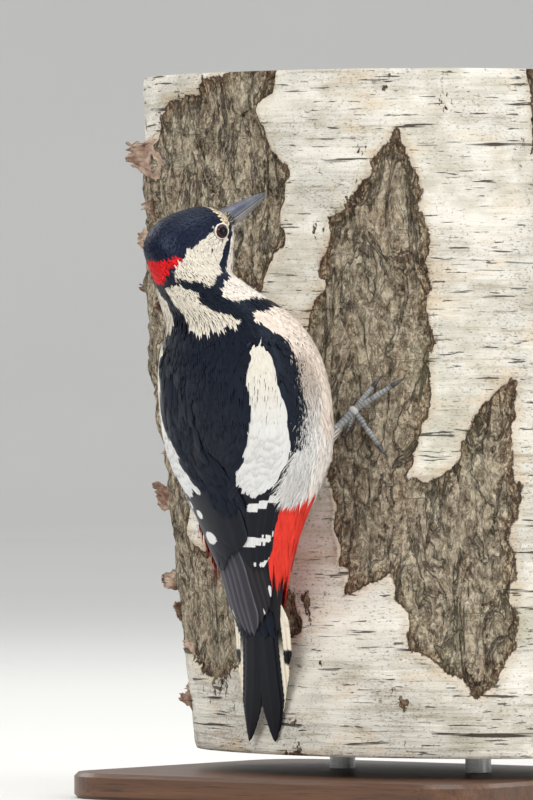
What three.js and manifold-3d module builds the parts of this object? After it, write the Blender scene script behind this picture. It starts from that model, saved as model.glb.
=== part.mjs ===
// Great spotted woodpecker, male, clinging to a cut length of birch trunk on a plain display stand.
// Millimetres, +Z up. The origin is the centre of the underside of the stand's base.
// The bird's belly faces +Y, towards the trunk. Its right side is +X.
import * as THREE from "three";
import { ParametricGeometry } from "three/addons/geometries/ParametricGeometry.js";
import { mergeVertices } from "three/addons/utils/BufferGeometryUtils.js";
import Module from "manifold-3d";

const wasm = await Module();
wasm.setup();

// ---------------------------------------------------------------- driving dimensions

const GAP = 0.3; // clearance between neighbouring pieces

// All places below are measured from the point where the tail's tips meet the bark.
const TAIL_TIP = new THREE.Vector3(-12, -50, 24);

// The stand: a flat base and two rods into the foot of the log.
const BASE = { width: 192, depth: 156, thick: 10, corner: 22, bevel: 1.5 };
const ROD = { radius: 5, apart: 64 };

// The log: an oval trunk that leans, with a slow swell along and around it.
const LOG = { bottom: -6, top: 256, wide: 95, deep: 66, swell: 1.6, rounds: 40, levels: 10 };
const LOG_AXIS = { x: 20.6, y: 64.7, leanX: -0.132, leanY: 0.058 };

// The body's sway to its right going up, which eases off above a level and ends at the head.
const SWAY = { lean: 0.115, level: 130, ease: 0.0027, top: 186 };

// Head: its middle in the body's middle plane, its pitch and its turn to the right about a pivot.
const HEAD = { y: -63.6, z: 186.4, pitch: 36, turn: 29, pivotY: -58.6 };
const EYE = { forward: 9.2, up: 0.6, side: 8.3, radius: 3.1 };

// Bill, along the head's axis. Heights are of each half's base.
const BILL = { from: 17.8, to: 36.2, half: 3.8, upper: 3.9, lower: 3.5, axis: 0.3, droop: -0.9 };

// Rings of the head, neck and trunk: the point on the back's midline, the point on the belly's
// midline, the half-width, and the ring's share of the head's turn. Head points are measured
// forward along and up from the bill's axis, body points along Y and Z.
const head = (forward, up) => ({ forward, up });
const body = (y, z) => ({ y, z });
const STATIONS = [
  { at: "bill", back: head(17.4, 4.4), front: head(17.0, -4.2), half: 4.4, turn: 1 },
  { at: "lores", back: head(15.4, 7.4), front: head(15.0, -6.8), half: 7.0, turn: 1 },
  { at: "brow", back: head(11.5, 10.8), front: head(12.0, -9.4), half: 9.8, turn: 1 },
  { at: "eye", back: head(6.5, 13.2), front: head(9.0, -12.0), half: 11.9, turn: 1 },
  { at: "crown", back: head(-1.0, 15.4), front: head(6.4, -14.4), half: 13.6, turn: 1 },
  { at: "ear", back: head(-8.5, 15.4), front: head(4.6, -16.6), half: 14.6, turn: 0.98 },
  { at: "nape", back: head(-15.0, 12.0), front: body(-48.6, 173.8), half: 15.4, turn: 0.92 },
  { at: "hindneck", back: head(-19.0, 5.0), front: body(-43.4, 170.6), half: 16.8, turn: 0.74 },
  { at: "neck", back: body(-77.5, 169.0), front: body(-36.5, 167.0), half: 19.6, turn: 0.45 },
  { at: "mantle", back: body(-70.5, 159.5), front: body(-26.0, 160.5), half: 24.4, turn: 0.18 },
  { at: "shoulder", back: body(-69.0, 149.0), front: body(-15.5, 150.5), half: 29.0, turn: 0.04 },
  { at: "breast", back: body(-67.5, 137.0), front: body(-8.5, 138.0), half: 32.0, turn: 0 },
  { at: "back", back: body(-62.5, 124.0), front: body(-4.8, 124.0), half: 33.3, turn: 0 },
  { at: "belly", back: body(-55.5, 111.5), front: body(-3.8, 110.0), half: 32.9, turn: 0 },
  { at: "flank", back: body(-49.0, 100.5), front: body(-5.8, 98.5), half: 29.6, turn: 0 },
  { at: "rump", back: body(-43.0, 89.5), front: body(-8.6, 87.5), half: 25.0, turn: 0 },
  { at: "vent", back: body(-37.0, 78.5), front: body(-9.2, 76.0), half: 19.8, turn: 0 },
  { at: "coverts", back: body(-30.5, 66.5), front: body(-8.8, 63.5), half: 15.6, turn: 0 },
  { at: "tailroot", back: body(-18.8, 49.0), front: body(-9.6, 49.0), half: 12.2, turn: 0 },
  { at: "tailtop", back: body(-14.0, 39.0), front: body(-8.6, 39.0), half: 11.4, turn: 0 },
];
// Sides of a ring, its superellipse powers at back and front, and how much narrower its back is.
const RING = { points: 28, back: 2.1, front: 2.3, taper: 0.04 };

// Wing: at each station, the angles of its inner and outer edges round the body from the back's
// midline, and how far its middle layer lies out from the body's surface.
const WING = [
  { at: "mantle", past: 0.62, inner: 56, outer: 70, out: -1.5 },
  { at: "shoulder", past: 0, inner: 40, outer: 82, out: -1.4 },
  { at: "shoulder", past: 0.5, inner: 34, outer: 84, out: -1.3 },
  { at: "breast", past: 0, inner: 30, outer: 84, out: -1.2 },
  { at: "back", past: 0, inner: 27, outer: 83, out: -1.2 },
  { at: "belly", past: 0, inner: 23, outer: 80, out: -1.2 },
  { at: "flank", past: 0, inner: 12, outer: 75, out: -1.2 },
  { at: "rump", past: 0, inner: -3, outer: 70, out: -1.0 },
  { at: "vent", past: 0, inner: -10, outer: 65, out: -0.8 },
  { at: "coverts", past: 0, inner: -15, outer: 62, out: -0.4 },
  { at: "tailroot", past: 0, inner: -8, outer: 62, out: 0.9 },
  { at: "tailtop", past: 0, inner: -3, outer: 22, out: 1.3 },
];
const WING_THICK = { root: 3.4, tip: 1.3 };
const EDGE_ANGLE = 2.2; // degrees round the body to a millimetre of growth at a wing's edges
const WING_BED = { grow: 0.5, above: 3 }; // how much larger than the wing its bed in the trunk is cut

// Tail: pairs of stiff pointed feathers, the middle pair on top and longest.
const TAIL = { pairs: 5, rootZ: 48.6, rootY: -14.6, thick: 1.1, step: 0.45, shift: -2.2, cup: 0.006 };
const TAIL_FEATHER = (i) => ({
  rootX: 2.0 + 1.8 * i,
  tipX: 6.2 + 0.85 * i,
  tipZ: [0.6, 4, 10, 18, 28][i],
  half: 3.6 - 0.2 * i,
});

// Legs. Right side; the left leg mirrors them across the body's middle plane.
const LEG = {
  hip: [22, -16, 108],
  heel: [15, -5, 112],
  ball: [18.9, 125.5],
  tarsus: 1.4,
  thigh: 7,
  cuff: 3,
};
const TOE = { radius: 1.2, tip: 0.9, rise: 2.0 };
// Each toe: sideways and upward reach on the bark from the ball of the foot, and claw length.
const TOES = [
  { name: "inner_front", side: 6.8, up: 9.6, claw: 4.4 },
  { name: "outer_front", side: 13.6, up: 9.6, claw: 4.6 },
  { name: "outer_rear", side: 10.4, up: -14.0, claw: 4.6 },
  { name: "inner_rear", side: -2.0, up: -7.0, claw: 3.2 },
];

// ---------------------------------------------------------------- small tools

const rad = THREE.MathUtils.degToRad;
const mix = THREE.MathUtils.lerp;
const index = (name) => STATIONS.findIndex((station) => station.at === name);

// A solid from a closed three.js geometry. Faces of no area, at poles, are left out.
function solid(geometry) {
  geometry.deleteAttribute("normal");
  geometry.deleteAttribute("uv");
  const merged = mergeVertices(geometry, 1e-4);
  const corners = merged.index.array;
  const faces = [];
  for (let i = 0; i < corners.length; i += 3) {
    const [a, b, c] = corners.subarray(i, i + 3);
    if (a !== b && b !== c && c !== a) faces.push(a, b, c);
  }
  const make = (triangles) =>
    new wasm.Manifold(
      new wasm.Mesh({
        numProp: 3,
        vertProperties: merged.attributes.position.array,
        triVerts: Uint32Array.from(triangles),
      }),
    );
  const made = make(faces);
  return made.volume() > 0 ? made : make(faces.toReversed());
}

// A closed solid round a line of rings. ring(along, around) gives a point, both from 0 to 1.
function loft(ring, rings, points) {
  const centre = (along) => {
    const middle = new THREE.Vector3();
    for (let j = 0; j < points; j++) middle.addScaledVector(ring(along, j / points), 1 / points);
    return middle;
  };
  const ends = [centre(0), centre(1)];
  const rows = rings + 2;
  const surface = (around, along, target) => {
    const row = Math.round(along * rows);
    if (row === 0) return target.copy(ends[0]);
    if (row === rows) return target.copy(ends[1]);
    return target.copy(ring((row - 1) / rings, Math.round((around % 1) * points) / points));
  };
  return solid(new ParametricGeometry(surface, points, rows));
}

// A round bar of changing radius along a curve.
function bar(points, radius, rings = 6, sides = 8) {
  const curve = new THREE.CatmullRomCurve3(points);
  const frames = curve.computeFrenetFrames(rings, false);
  return loft(
    (along, around) => {
      const i = Math.round(along * rings);
      const a = 2 * Math.PI * around;
      return curve
        .getPointAt(along)
        .addScaledVector(frames.normals[i], radius(along) * Math.cos(a))
        .addScaledVector(frames.binormals[i], radius(along) * Math.sin(a));
    },
    rings,
    sides,
  );
}

// The largest of the bodies that a cut has left.
const largest = (shape) => shape.decompose().reduce((a, b) => (a.volume() > b.volume() ? a : b));

// The uniform Catmull-Rom value at place t of a list of numbers.
function spline(values, t) {
  const last = values.length - 1;
  const i = Math.min(Math.max(Math.floor(t), 0), last - 1);
  const f = t - i;
  const value = (k) => values[Math.max(0, Math.min(last, k))];
  const [a, b, c, d] = [value(i - 1), value(i), value(i + 1), value(i + 2)];
  const squared = 2 * a - 5 * b + 4 * c - d;
  const cubed = 3 * b - a - 3 * c + d;
  return 0.5 * (2 * b + (c - a) * f + squared * f ** 2 + cubed * f ** 3);
}

// ---------------------------------------------------------------- pose

function sway(z) {
  const level = Math.min(z, SWAY.top);
  return SWAY.lean * level - SWAY.ease * Math.max(0, level - SWAY.level) ** 2;
}

// A place beside the middle plane, turned by a share of the head's turn, then swayed.
function pose(x, y, z, share) {
  const a = rad(HEAD.turn) * share;
  const dy = y - HEAD.pivotY;
  return new THREE.Vector3(
    x * Math.cos(a) + dy * Math.sin(a) + sway(z),
    HEAD.pivotY - x * Math.sin(a) + dy * Math.cos(a),
    z,
  ).add(TAIL_TIP);
}

// A place on the middle plane, from head or body measures.
function onMidplane(place) {
  if (place.z !== undefined) return place;
  const [c, s] = [Math.cos(rad(HEAD.pitch)), Math.sin(rad(HEAD.pitch))];
  return {
    y: HEAD.y + place.forward * c - place.up * s,
    z: HEAD.z + place.forward * s + place.up * c,
  };
}

function headPoint(forward, up, side) {
  const place = onMidplane(head(forward, up));
  return pose(side, place.y, place.z, 1);
}

// ---------------------------------------------------------------- the body's surface

const BACK = STATIONS.map((station) => onMidplane(station.back));
const FRONT = STATIONS.map((station) => onMidplane(station.front));
const LINES = [
  BACK.map((place) => place.y),
  BACK.map((place) => place.z),
  FRONT.map((place) => place.y),
  FRONT.map((place) => place.z),
  STATIONS.map((station) => station.half),
  STATIONS.map((station) => station.turn),
];

// The plumage's outer surface. t runs down the stations. angle runs from 0 at the back's midline,
// by 90 at the bird's right, to 180 at the belly's. out moves the point off the surface.
function envelope(t, angle, out = 0) {
  const [by, bz, fy, fz, half, turn] = LINES.map((line) => spline(line, t));
  const a = rad(angle);
  const backward = Math.cos(a);
  const power = 2 / mix(RING.front, RING.back, (1 + backward) / 2);
  const width = half * (1 - RING.taper * (1 + backward));
  const across = width * Math.sign(Math.sin(a)) * Math.abs(Math.sin(a)) ** power;
  const along = Math.sign(backward) * Math.abs(backward) ** power;
  const depth = Math.hypot(by - fy, bz - fz) / 2;
  const grow = 1 + out / Math.hypot(across, depth * along);
  const y = (by + fy) / 2 + ((by - fy) / 2) * along * grow;
  const z = (bz + fz) / 2 + ((bz - fz) / 2) * along * grow;
  return pose(across * grow, y, z, turn);
}

const bodyLength = (from, to, rings) =>
  loft((along, around) => envelope(mix(from, to, along), 360 * around), rings, RING.points);

// ---------------------------------------------------------------- bill

// Half of the bill: a D-shaped section that tapers to a blunt chisel tip. up is 1 or -1.
function mandible(up, height) {
  const surface = (along, around) => {
    const taper = (1 - along) ** 0.8;
    const turn = 2 * Math.PI * around;
    const side = (BILL.half * taper + 0.35) * Math.cos(turn);
    const rise = (height * taper + 0.35) * Math.max(0, Math.sin(turn)) + GAP / 2;
    return headPoint(mix(BILL.from, BILL.to, along), mix(BILL.axis, BILL.droop, along) + up * rise, side);
  };
  return loft(surface, 5, 12);
}

// ---------------------------------------------------------------- wings

const WING_LINES = [
  WING.map((station) => index(station.at) + station.past),
  WING.map((station) => station.inner),
  WING.map((station) => station.outer),
  WING.map((station) => station.out),
];

// A folded wing: a lens-shaped shell over the body's side, thinning to the tip of the primaries.
// side is 1 for right and -1 for left. grow makes it larger all round, and above makes it higher.
function wing(side, { grow, above } = { grow: 0, above: 0 }) {
  const surface = (along, around) => {
    const t = spline(WING_LINES[0], along * (WING.length - 1)) + 0.25 * grow * (2 * along - 1);
    const [inner, outer, out] = WING_LINES.slice(1).map((line) => spline(line, along * (WING.length - 1)));
    const turn = 2 * Math.PI * around;
    const place = (1 - Math.cos(turn)) / 2;
    const angle = mix(inner - EDGE_ANGLE * grow, outer + EDGE_ANGLE * grow, place);
    const half = mix(WING_THICK.root, WING_THICK.tip, along) / 2 + grow;
    const bulge = Math.sign(Math.sin(turn)) * Math.abs(Math.sin(turn)) ** 0.6;
    const lift = half * bulge + above * Math.max(0, bulge);
    return envelope(t, side * angle, out + lift);
  };
  return loft(surface, 16, 12);
}

// ---------------------------------------------------------------- tail

// One stiff tail feather: a flat blade that narrows to a point and meets the bark with its tip.
function tailFeather(side, i) {
  const { rootX, tipX, tipZ, half } = TAIL_FEATHER(i);
  const surface = (along, around) => {
    const z = mix(TAIL.rootZ, tipZ, along);
    const middle = side * mix(rootX, tipX, along ** 1.6) + TAIL.shift * Math.max(0, 1 - z / 40);
    const width = half * Math.min(1, 2.6 * (1 - along)) ** 0.8 + 0.5;
    const turn = 2 * Math.PI * around;
    const across = middle + width * Math.cos(turn);
    const lift = TAIL.rootY * (z / TAIL.rootZ) ** 1.15 + TAIL.step * i + TAIL.cup * across ** 2;
    return pose(across, lift - 1.0 + (TAIL.thick / 2) * Math.sin(turn), z, 0);
  };
  return loft(surface, 5, 6);
}

function tail() {
  let joined = null;
  for (const side of [-1, 1])
    for (let i = 0; i < TAIL.pairs; i++) {
      const feather = tailFeather(side, i);
      joined = joined ? joined.add(feather) : feather;
    }
  return largest(joined);
}

// ---------------------------------------------------------------- log

// The bark's surface: level is a height, angle runs from 0 towards the bird to 90 at its right.
function bark(level, angle, out = 0) {
  const a = rad(angle);
  const swell =
    LOG.swell * Math.sin(2 * a + level / 40) + 0.6 * LOG.swell * Math.sin(3 * a - level / 27 + 1) + out;
  return new THREE.Vector3(
    LOG_AXIS.x + LOG_AXIS.leanX * level + (LOG.wide + swell) * Math.sin(a),
    LOG_AXIS.y + LOG_AXIS.leanY * level - (LOG.deep + swell) * Math.cos(a),
    level,
  ).add(TAIL_TIP);
}

// The place on the bark at a height and at a distance across, lifted off it.
function onBark(x, z, lift) {
  let angle = 0;
  for (let i = 0; i < 12; i++) {
    const miss = x - (bark(z, angle).x - TAIL_TIP.x);
    angle += THREE.MathUtils.radToDeg(miss / LOG.wide);
  }
  return bark(z, angle, lift);
}

const log = () =>
  loft(
    (along, around) => bark(mix(LOG.bottom, LOG.top, along), 360 * around),
    LOG.levels,
    LOG.rounds,
  );

// ---------------------------------------------------------------- legs

const legX = (side, x, z) => sway(z) + side * x;
const legPoint = (side, [x, y, z]) => new THREE.Vector3(legX(side, x, z), y, z).add(TAIL_TIP);

// A place along a toe's line on the bark: along is 0 at the ball of the foot and 1 at the toe's end.
function toePoint(side, toe, along, lift) {
  const [ballX, ballZ] = LEG.ball;
  const x = legX(side, ballX, ballZ) + side * toe.side * along;
  return onBark(x, ballZ + toe.up * along, lift);
}

const ballOfFoot = (side) => toePoint(side, TOES[0], 0, TOE.rise + 0.4);

const ball = (side, grow) =>
  solid(new THREE.SphereGeometry(2.0 + grow, 10, 7).translate(...ballOfFoot(side)));

function tarsus(side, grow = 0) {
  const [heel, end] = [legPoint(side, LEG.heel), ballOfFoot(side)];
  return bar([heel, heel.clone().lerp(end, 0.5), end], () => LEG.tarsus + grow, 4, 8);
}

// The feathered thigh, from inside the flank to the heel.
function thigh(side, grow = 0) {
  const [hip, heel] = [legPoint(side, LEG.hip), legPoint(side, LEG.heel)];
  const knee = hip.clone().lerp(heel, 0.5).add(new THREE.Vector3(0, -0.5, 1.5));
  return bar([hip, knee, heel], (f) => mix(LEG.thigh, LEG.cuff, f ** 1.5) + grow, 6, 12);
}

// The ball of the foot with its four toes, two up the bark and two down.
function foot(side, grow = 0) {
  let joined = ball(side, grow);
  for (const toe of TOES) {
    const path = [0, 0.35, 0.7, 1].map((f) =>
      toePoint(side, toe, f, TOE.rise + 0.8 * Math.sin(Math.PI * f) - 0.4 * f),
    );
    joined = joined.add(bar(path, (f) => mix(TOE.radius, TOE.tip, f) + grow, 4, 6));
  }
  return joined;
}

// A claw: a curved cone that leaves the toe's end, arches over and comes down to the bark.
function claw(side, toe) {
  const length = Math.hypot(toe.side, toe.up);
  const from = 1 + (GAP + 0.35) / length;
  const path = [0, 0.35, 0.7, 1].map((f) => {
    const lift = TOE.rise - 0.4 + 1.1 * Math.sin(Math.PI * f) - 0.9 * f * f;
    return toePoint(side, toe, from + (f * toe.claw) / length, lift);
  });
  return bar(path, (f) => mix(0.85, 0.3, f), 4, 6);
}

// ---------------------------------------------------------------- scene

const model = new THREE.Group();

function addPiece(name, shape, color, roughness = 0.8, metalness = 0) {
  const data = shape.getMesh();
  const geometry = new THREE.BufferGeometry()
    .setAttribute("position", new THREE.BufferAttribute(Float32Array.from(data.vertProperties), 3))
    .setIndex(new THREE.BufferAttribute(data.triVerts, 1));
  geometry.computeVertexNormals();
  const mesh = new THREE.Mesh(geometry, new THREE.MeshStandardMaterial({ color, roughness, metalness }));
  mesh.name = name;
  model.add(mesh);
}

const COLOUR = {
  black: 0x14171f,
  white: 0xe6ddcc,
  horn: 0x59616b,
  iris: 0x5a2430,
  lead: 0x7d8486,
  claw: 0x2a2a2c,
  birch: 0xcfc6b4,
  base: 0x4a3627,
  steel: 0xb4b6b8,
};

// Head with eye sockets, neck, and trunk with beds for the wings.
function eye(side, grow = 0) {
  const place = headPoint(EYE.forward, EYE.up, side * EYE.side);
  return solid(new THREE.SphereGeometry(EYE.radius + grow, 12, 9).translate(...place));
}

let headShape = bodyLength(0, index("nape") + 0.3, 11);
for (const side of [-1, 1]) headShape = headShape.subtract(eye(side, GAP));
addPiece("head", largest(headShape), COLOUR.black);
addPiece("neck", bodyLength(index("nape") + 0.33, index("mantle") - 0.08, 5), COLOUR.white);

const leftWing = wing(-1);
const rightWing = largest(wing(1).subtract(wing(-1, WING_BED)));
let trunkShape = bodyLength(index("mantle") - 0.04, index("tailroot"), 14);
for (const side of [-1, 1])
  trunkShape = trunkShape.subtract(wing(side, WING_BED)).subtract(thigh(side, GAP));
addPiece("trunk", largest(trunkShape), COLOUR.black);
addPiece("wing_left", leftWing, COLOUR.black);
addPiece("wing_right", rightWing, COLOUR.black);
addPiece("tail", tail(), COLOUR.black);

addPiece("bill_upper", mandible(1, BILL.upper), COLOUR.horn, 0.4);
addPiece("bill_lower", mandible(-1, BILL.lower), COLOUR.horn, 0.4);

for (const [side, name] of [[-1, "left"], [1, "right"]]) {
  addPiece(`thigh_${name}`, largest(thigh(side).subtract(tarsus(side, GAP))), COLOUR.white);
  addPiece(`tarsus_${name}`, largest(tarsus(side).subtract(foot(side, GAP))), COLOUR.lead, 0.6);
  addPiece(`eye_${name}`, eye(side), COLOUR.iris, 0.1);
  addPiece(`foot_${name}`, foot(side), COLOUR.lead, 0.6);
  for (const toe of TOES) addPiece(`claw_${name}_${toe.name}`, claw(side, toe), COLOUR.claw, 0.4);
}

addPiece("perch_log", log(), COLOUR.birch, 0.9);

// The stand: a base with rounded corners, and two rods up to the log's sawn foot.
const outline = new THREE.Shape();
const [w, d, r] = [BASE.width / 2 - BASE.bevel, BASE.depth / 2 - BASE.bevel, BASE.corner];
outline.absarc(w - r, d - r, r, 0, Math.PI / 2);
outline.absarc(r - w, d - r, r, Math.PI / 2, Math.PI);
outline.absarc(r - w, r - d, r, Math.PI, 1.5 * Math.PI);
outline.absarc(w - r, r - d, r, 1.5 * Math.PI, 2 * Math.PI);
const plate = new THREE.ExtrudeGeometry(outline, {
  depth: BASE.thick - 2 * BASE.bevel,
  bevelThickness: BASE.bevel,
  bevelSize: BASE.bevel,
  bevelSegments: 1,
  curveSegments: 6,
}).translate(0, 0, BASE.bevel);
addPiece("stand_base", solid(plate), COLOUR.base, 0.5);

const logFoot = bark(LOG.bottom, 0).add(bark(LOG.bottom, 180)).multiplyScalar(0.5);
const rodLength = logFoot.z - BASE.thick - 2 * GAP;
for (const [i, side] of [-1, 1].entries()) {
  const rod = new THREE.CylinderGeometry(ROD.radius, ROD.radius, rodLength, 20).rotateX(Math.PI / 2);
  rod.translate(logFoot.x + (side * ROD.apart) / 2, logFoot.y, BASE.thick + GAP + rodLength / 2);
  addPiece(`stand_rod_${i + 1}`, solid(rod), COLOUR.steel, 0.3, 1);
}

export default model;
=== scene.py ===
"""Looks of the great spotted woodpecker model, laid out as an add-on and run as a script.

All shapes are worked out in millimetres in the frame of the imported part, and scaled to metres when
they become meshes. Lengths along the body are stations t, and angles run from 0 at the back's
midline by 90 at the bird's right to 180 at the belly's.
"""

import bpy
import numpy as np
from bpy.props import FloatProperty, FloatVectorProperty, IntProperty, PointerProperty
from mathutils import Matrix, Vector


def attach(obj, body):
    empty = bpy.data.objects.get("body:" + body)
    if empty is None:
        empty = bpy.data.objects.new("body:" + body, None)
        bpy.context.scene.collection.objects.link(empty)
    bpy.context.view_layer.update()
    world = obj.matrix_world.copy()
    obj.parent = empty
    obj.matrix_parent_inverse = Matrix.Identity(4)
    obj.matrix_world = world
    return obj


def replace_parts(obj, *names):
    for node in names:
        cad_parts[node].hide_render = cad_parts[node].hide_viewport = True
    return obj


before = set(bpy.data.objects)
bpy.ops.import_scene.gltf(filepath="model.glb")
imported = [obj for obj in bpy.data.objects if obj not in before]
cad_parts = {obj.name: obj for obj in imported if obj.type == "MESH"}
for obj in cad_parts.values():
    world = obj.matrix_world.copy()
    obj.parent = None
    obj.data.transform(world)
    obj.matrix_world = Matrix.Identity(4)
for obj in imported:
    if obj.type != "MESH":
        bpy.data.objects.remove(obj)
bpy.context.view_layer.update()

bl_info = {
    "name": "Great spotted woodpecker",
    "version": (1, 0, 0),
    "blender": (4, 5, 0),
    "location": "View3D > Sidebar > Woodpecker",
    "description": "Builds the skin, plumage, bill, eyes, feet, birch log and stage of the model",
    "category": "Add Mesh",
}

MM = 0.001
RIGHT, LEFT = 1, -1

# ---- driving sizes, as in the CAD part

TAIL_TIP = np.array([-12.0, -50.0, 24.0])
HEAD_Y, HEAD_Z, HEAD_PITCH, HEAD_TURN, PIVOT_Y = -63.6, 186.4, 36.0, 29.0, -58.6
SWAY_LEAN, SWAY_LEVEL, SWAY_EASE, SWAY_TOP = 0.115, 130.0, 0.0027, 186.0
RING_BACK, RING_FRONT, RING_TAPER = 2.1, 2.3, 0.04
EYE_FORWARD, EYE_UP, EYE_SIDE, EYE_RADIUS = 9.2, 0.6, 8.3, 3.1


def on_midplane(on_head, first, second):
    """A point of the middle plane as (y, z), from body measures or from head measures turned by the pitch."""
    if not on_head:
        return first, second
    c, s = np.cos(np.radians(HEAD_PITCH)), np.sin(np.radians(HEAD_PITCH))
    return HEAD_Y + first * c - second * s, HEAD_Z + first * s + second * c


# Back point, belly point, half-width and share of the head's turn of each station, bill to tail. The first
# back points and the first belly points are in head measures, as many as HEAD_BACKS and HEAD_FRONTS say.
HEAD_BACKS, HEAD_FRONTS = 8, 6
STATIONS = [
    (17.4, 4.4, 17.0, -4.2, 4.4, 1), (15.4, 7.4, 15.0, -6.8, 7.0, 1), (11.5, 10.8, 12.0, -9.4, 9.8, 1),
    (6.5, 13.2, 9.0, -12.0, 11.9, 1), (-1.0, 15.4, 6.4, -14.4, 13.6, 1),
    (-8.5, 15.4, 4.6, -16.6, 14.6, 0.98), (-15.0, 12.0, -48.6, 173.8, 15.4, 0.92),
    (-19.0, 5.0, -43.4, 170.6, 16.8, 0.74), (-77.5, 169.0, -36.5, 167.0, 19.6, 0.45),
    (-70.5, 159.5, -26.0, 160.5, 24.4, 0.18), (-69.0, 149.0, -15.5, 150.5, 29.0, 0.04),
    (-67.5, 137.0, -8.5, 138.0, 32.0, 0), (-62.5, 124.0, -4.8, 124.0, 33.3, 0),
    (-55.5, 111.5, -3.8, 110.0, 32.9, 0), (-49.0, 100.5, -5.8, 98.5, 29.6, 0),
    (-43.0, 89.5, -8.6, 87.5, 25.0, 0), (-37.0, 78.5, -9.2, 76.0, 19.8, 0),
    (-30.5, 66.5, -8.8, 63.5, 15.6, 0), (-18.8, 49.0, -9.6, 49.0, 12.2, 0),
    (-14.0, 39.0, -8.6, 39.0, 11.4, 0),
]
LINES = np.array([
    [*on_midplane(i < HEAD_BACKS, *s[:2]), *on_midplane(i < HEAD_FRONTS, *s[2:4]), *s[4:]]
    for i, s in enumerate(STATIONS)
]).T

# Wing rows: station, inner and outer edge angles, and the middle layer's distance off the body.
WING_LINES = np.array([
    [9.62, 56, 70, -1.5], [10, 40, 82, -1.4], [10.5, 34, 84, -1.3], [11, 30, 84, -1.2],
    [12, 27, 83, -1.2], [13, 23, 80, -1.2], [14, 12, 75, -1.2], [15, -3, 70, -1.0],
    [16, -10, 65, -0.8], [17, -15, 62, -0.4], [18, -8, 62, 0.9], [19, -3, 22, 1.3],
]).T
WING_ROOT_THICK, WING_TIP_THICK = 3.4, 1.3
# Width of the folded wing in millimetres along its length, for sideways measures on it.
WING_WIDTH = np.array([
    [0, 0.1, 0.2, 0.4, 0.6, 0.7, 0.8, 0.9, 1.0], [9, 21, 26.3, 28.9, 27.6, 24.5, 20.1, 15.2, 8]
])
WING_LENGTH = 130.5

# ---- number tools


def spline(values, t):
    """Uniform Catmull-Rom value of each row of values at places t, carried straight on past the ends."""
    last = values.shape[-1] - 1
    i = np.clip(np.floor(t).astype(int), 0, last - 1)
    f = t - i
    a, b, c, d = (values[..., np.clip(i + k, 0, last)] for k in (-1, 0, 1, 2))
    return 0.5 * (2 * b + (c - a) * f + (2 * a - 5 * b + 4 * c - d) * f**2 + (3 * b - a - 3 * c + d) * f**3)


def ring_angles(count):
    """Angles of a full turn, in radians."""
    return np.linspace(0, 2 * np.pi, count, endpoint=False)


def shares(rows, cols):
    """Shares from 0 to 1 down a grid's rows, and from -1 to 1 across its columns."""
    return np.linspace(0, 1, rows)[:, None], np.linspace(-1, 1, cols)[None, :]


def picked(chosen, *arrays):
    """The chosen places of each array."""
    return [a[chosen] for a in arrays]


def mix(a, b, f):
    """The value a share f of the way from a to b."""
    return a + (b - a) * f


def smooth_step(low, high, x):
    """0 below low, 1 above high, and 3f^2 - 2f^3 between."""
    f = np.clip((x - low) / (high - low), 0, 1)
    return f * f * (3 - 2 * f)


def unit(v):
    """Vectors of length 1."""
    return v / np.maximum(np.linalg.norm(v, axis=-1, keepdims=True), 1e-9)


def noise(x, y, seed, wrap=0):
    """Smooth noise from 0 to 1: hashed values at whole numbers, blended by a smooth step. x repeats after
    wrap."""
    xi, yi = np.floor(x).astype(np.int64), np.floor(y).astype(np.int64)
    fx, fy = (smooth_step(0, 1, f) for f in (x - xi, y - yi))

    def value(a, b):
        a = a % wrap if wrap else a
        h = (a * 374761393 + b * 668265263 + seed * 974634777) & 0xFFFFFFFF
        h = ((h ^ (h >> 13)) * 1274126177) & 0xFFFFFFFF
        return ((h ^ (h >> 16)) & 0xFFFF) / 65535.0

    low = mix(value(xi, yi), value(xi + 1, yi), fx)
    high = mix(value(xi, yi + 1), value(xi + 1, yi + 1), fx)
    return mix(low, high, fy)


def fractal(x, y, seed, octaves=4, wrap=0):
    """Sum of noise at doubling scales and halving weights, from 0 to 1."""
    total, weight = 0.0, 0.0
    for k in range(octaves):
        total = total + noise(x * 2**k, y * 2**k, seed + k, wrap * 2**k) / 2**k
        weight += 1 / 2**k
    return total / weight


def inside(outline, x, y):
    """True where (x, y) lies in a closed outline, by counting its crossings to one side."""
    found = np.zeros(np.shape(x), bool)
    ends = np.roll(outline, -1, axis=0)
    for (ax, ay), (bx, by) in zip(outline, ends):
        if ay != by:
            crosses = ((ay > y) != (by > y)) & (x < (bx - ax) * (y - ay) / (by - ay) + ax)
            found ^= crosses
    return found


def linear(red, green, blue):
    """Screen values from 0 to 255 as linear light."""
    c = np.array([red, green, blue]) / 255
    return tuple(np.where(c <= 0.04045, c / 12.92, ((c + 0.055) / 1.055) ** 2.4))


# ---- body surface


def sway(z):
    """Sideways shift of the body at a height, which eases off towards the head."""
    level = np.minimum(z, SWAY_TOP)
    return SWAY_LEAN * level - SWAY_EASE * np.maximum(0, level - SWAY_LEVEL) ** 2


def pose(x, y, z, share):
    """A place beside the middle plane, turned about the neck's pivot by a share of the head's turn, and
    swayed."""
    a = np.radians(HEAD_TURN) * share
    dy = y - PIVOT_Y
    turned = (x * np.cos(a) + dy * np.sin(a) + sway(z), PIVOT_Y - x * np.sin(a) + dy * np.cos(a), z + 0 * x)
    return np.stack(turned, -1) + TAIL_TIP


def head_point(forward, up, side):
    """A place on the head, from the bill's axis and the middle plane."""
    y, z = on_midplane(True, forward, up)
    return pose(side, y, z, 1.0)


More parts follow.
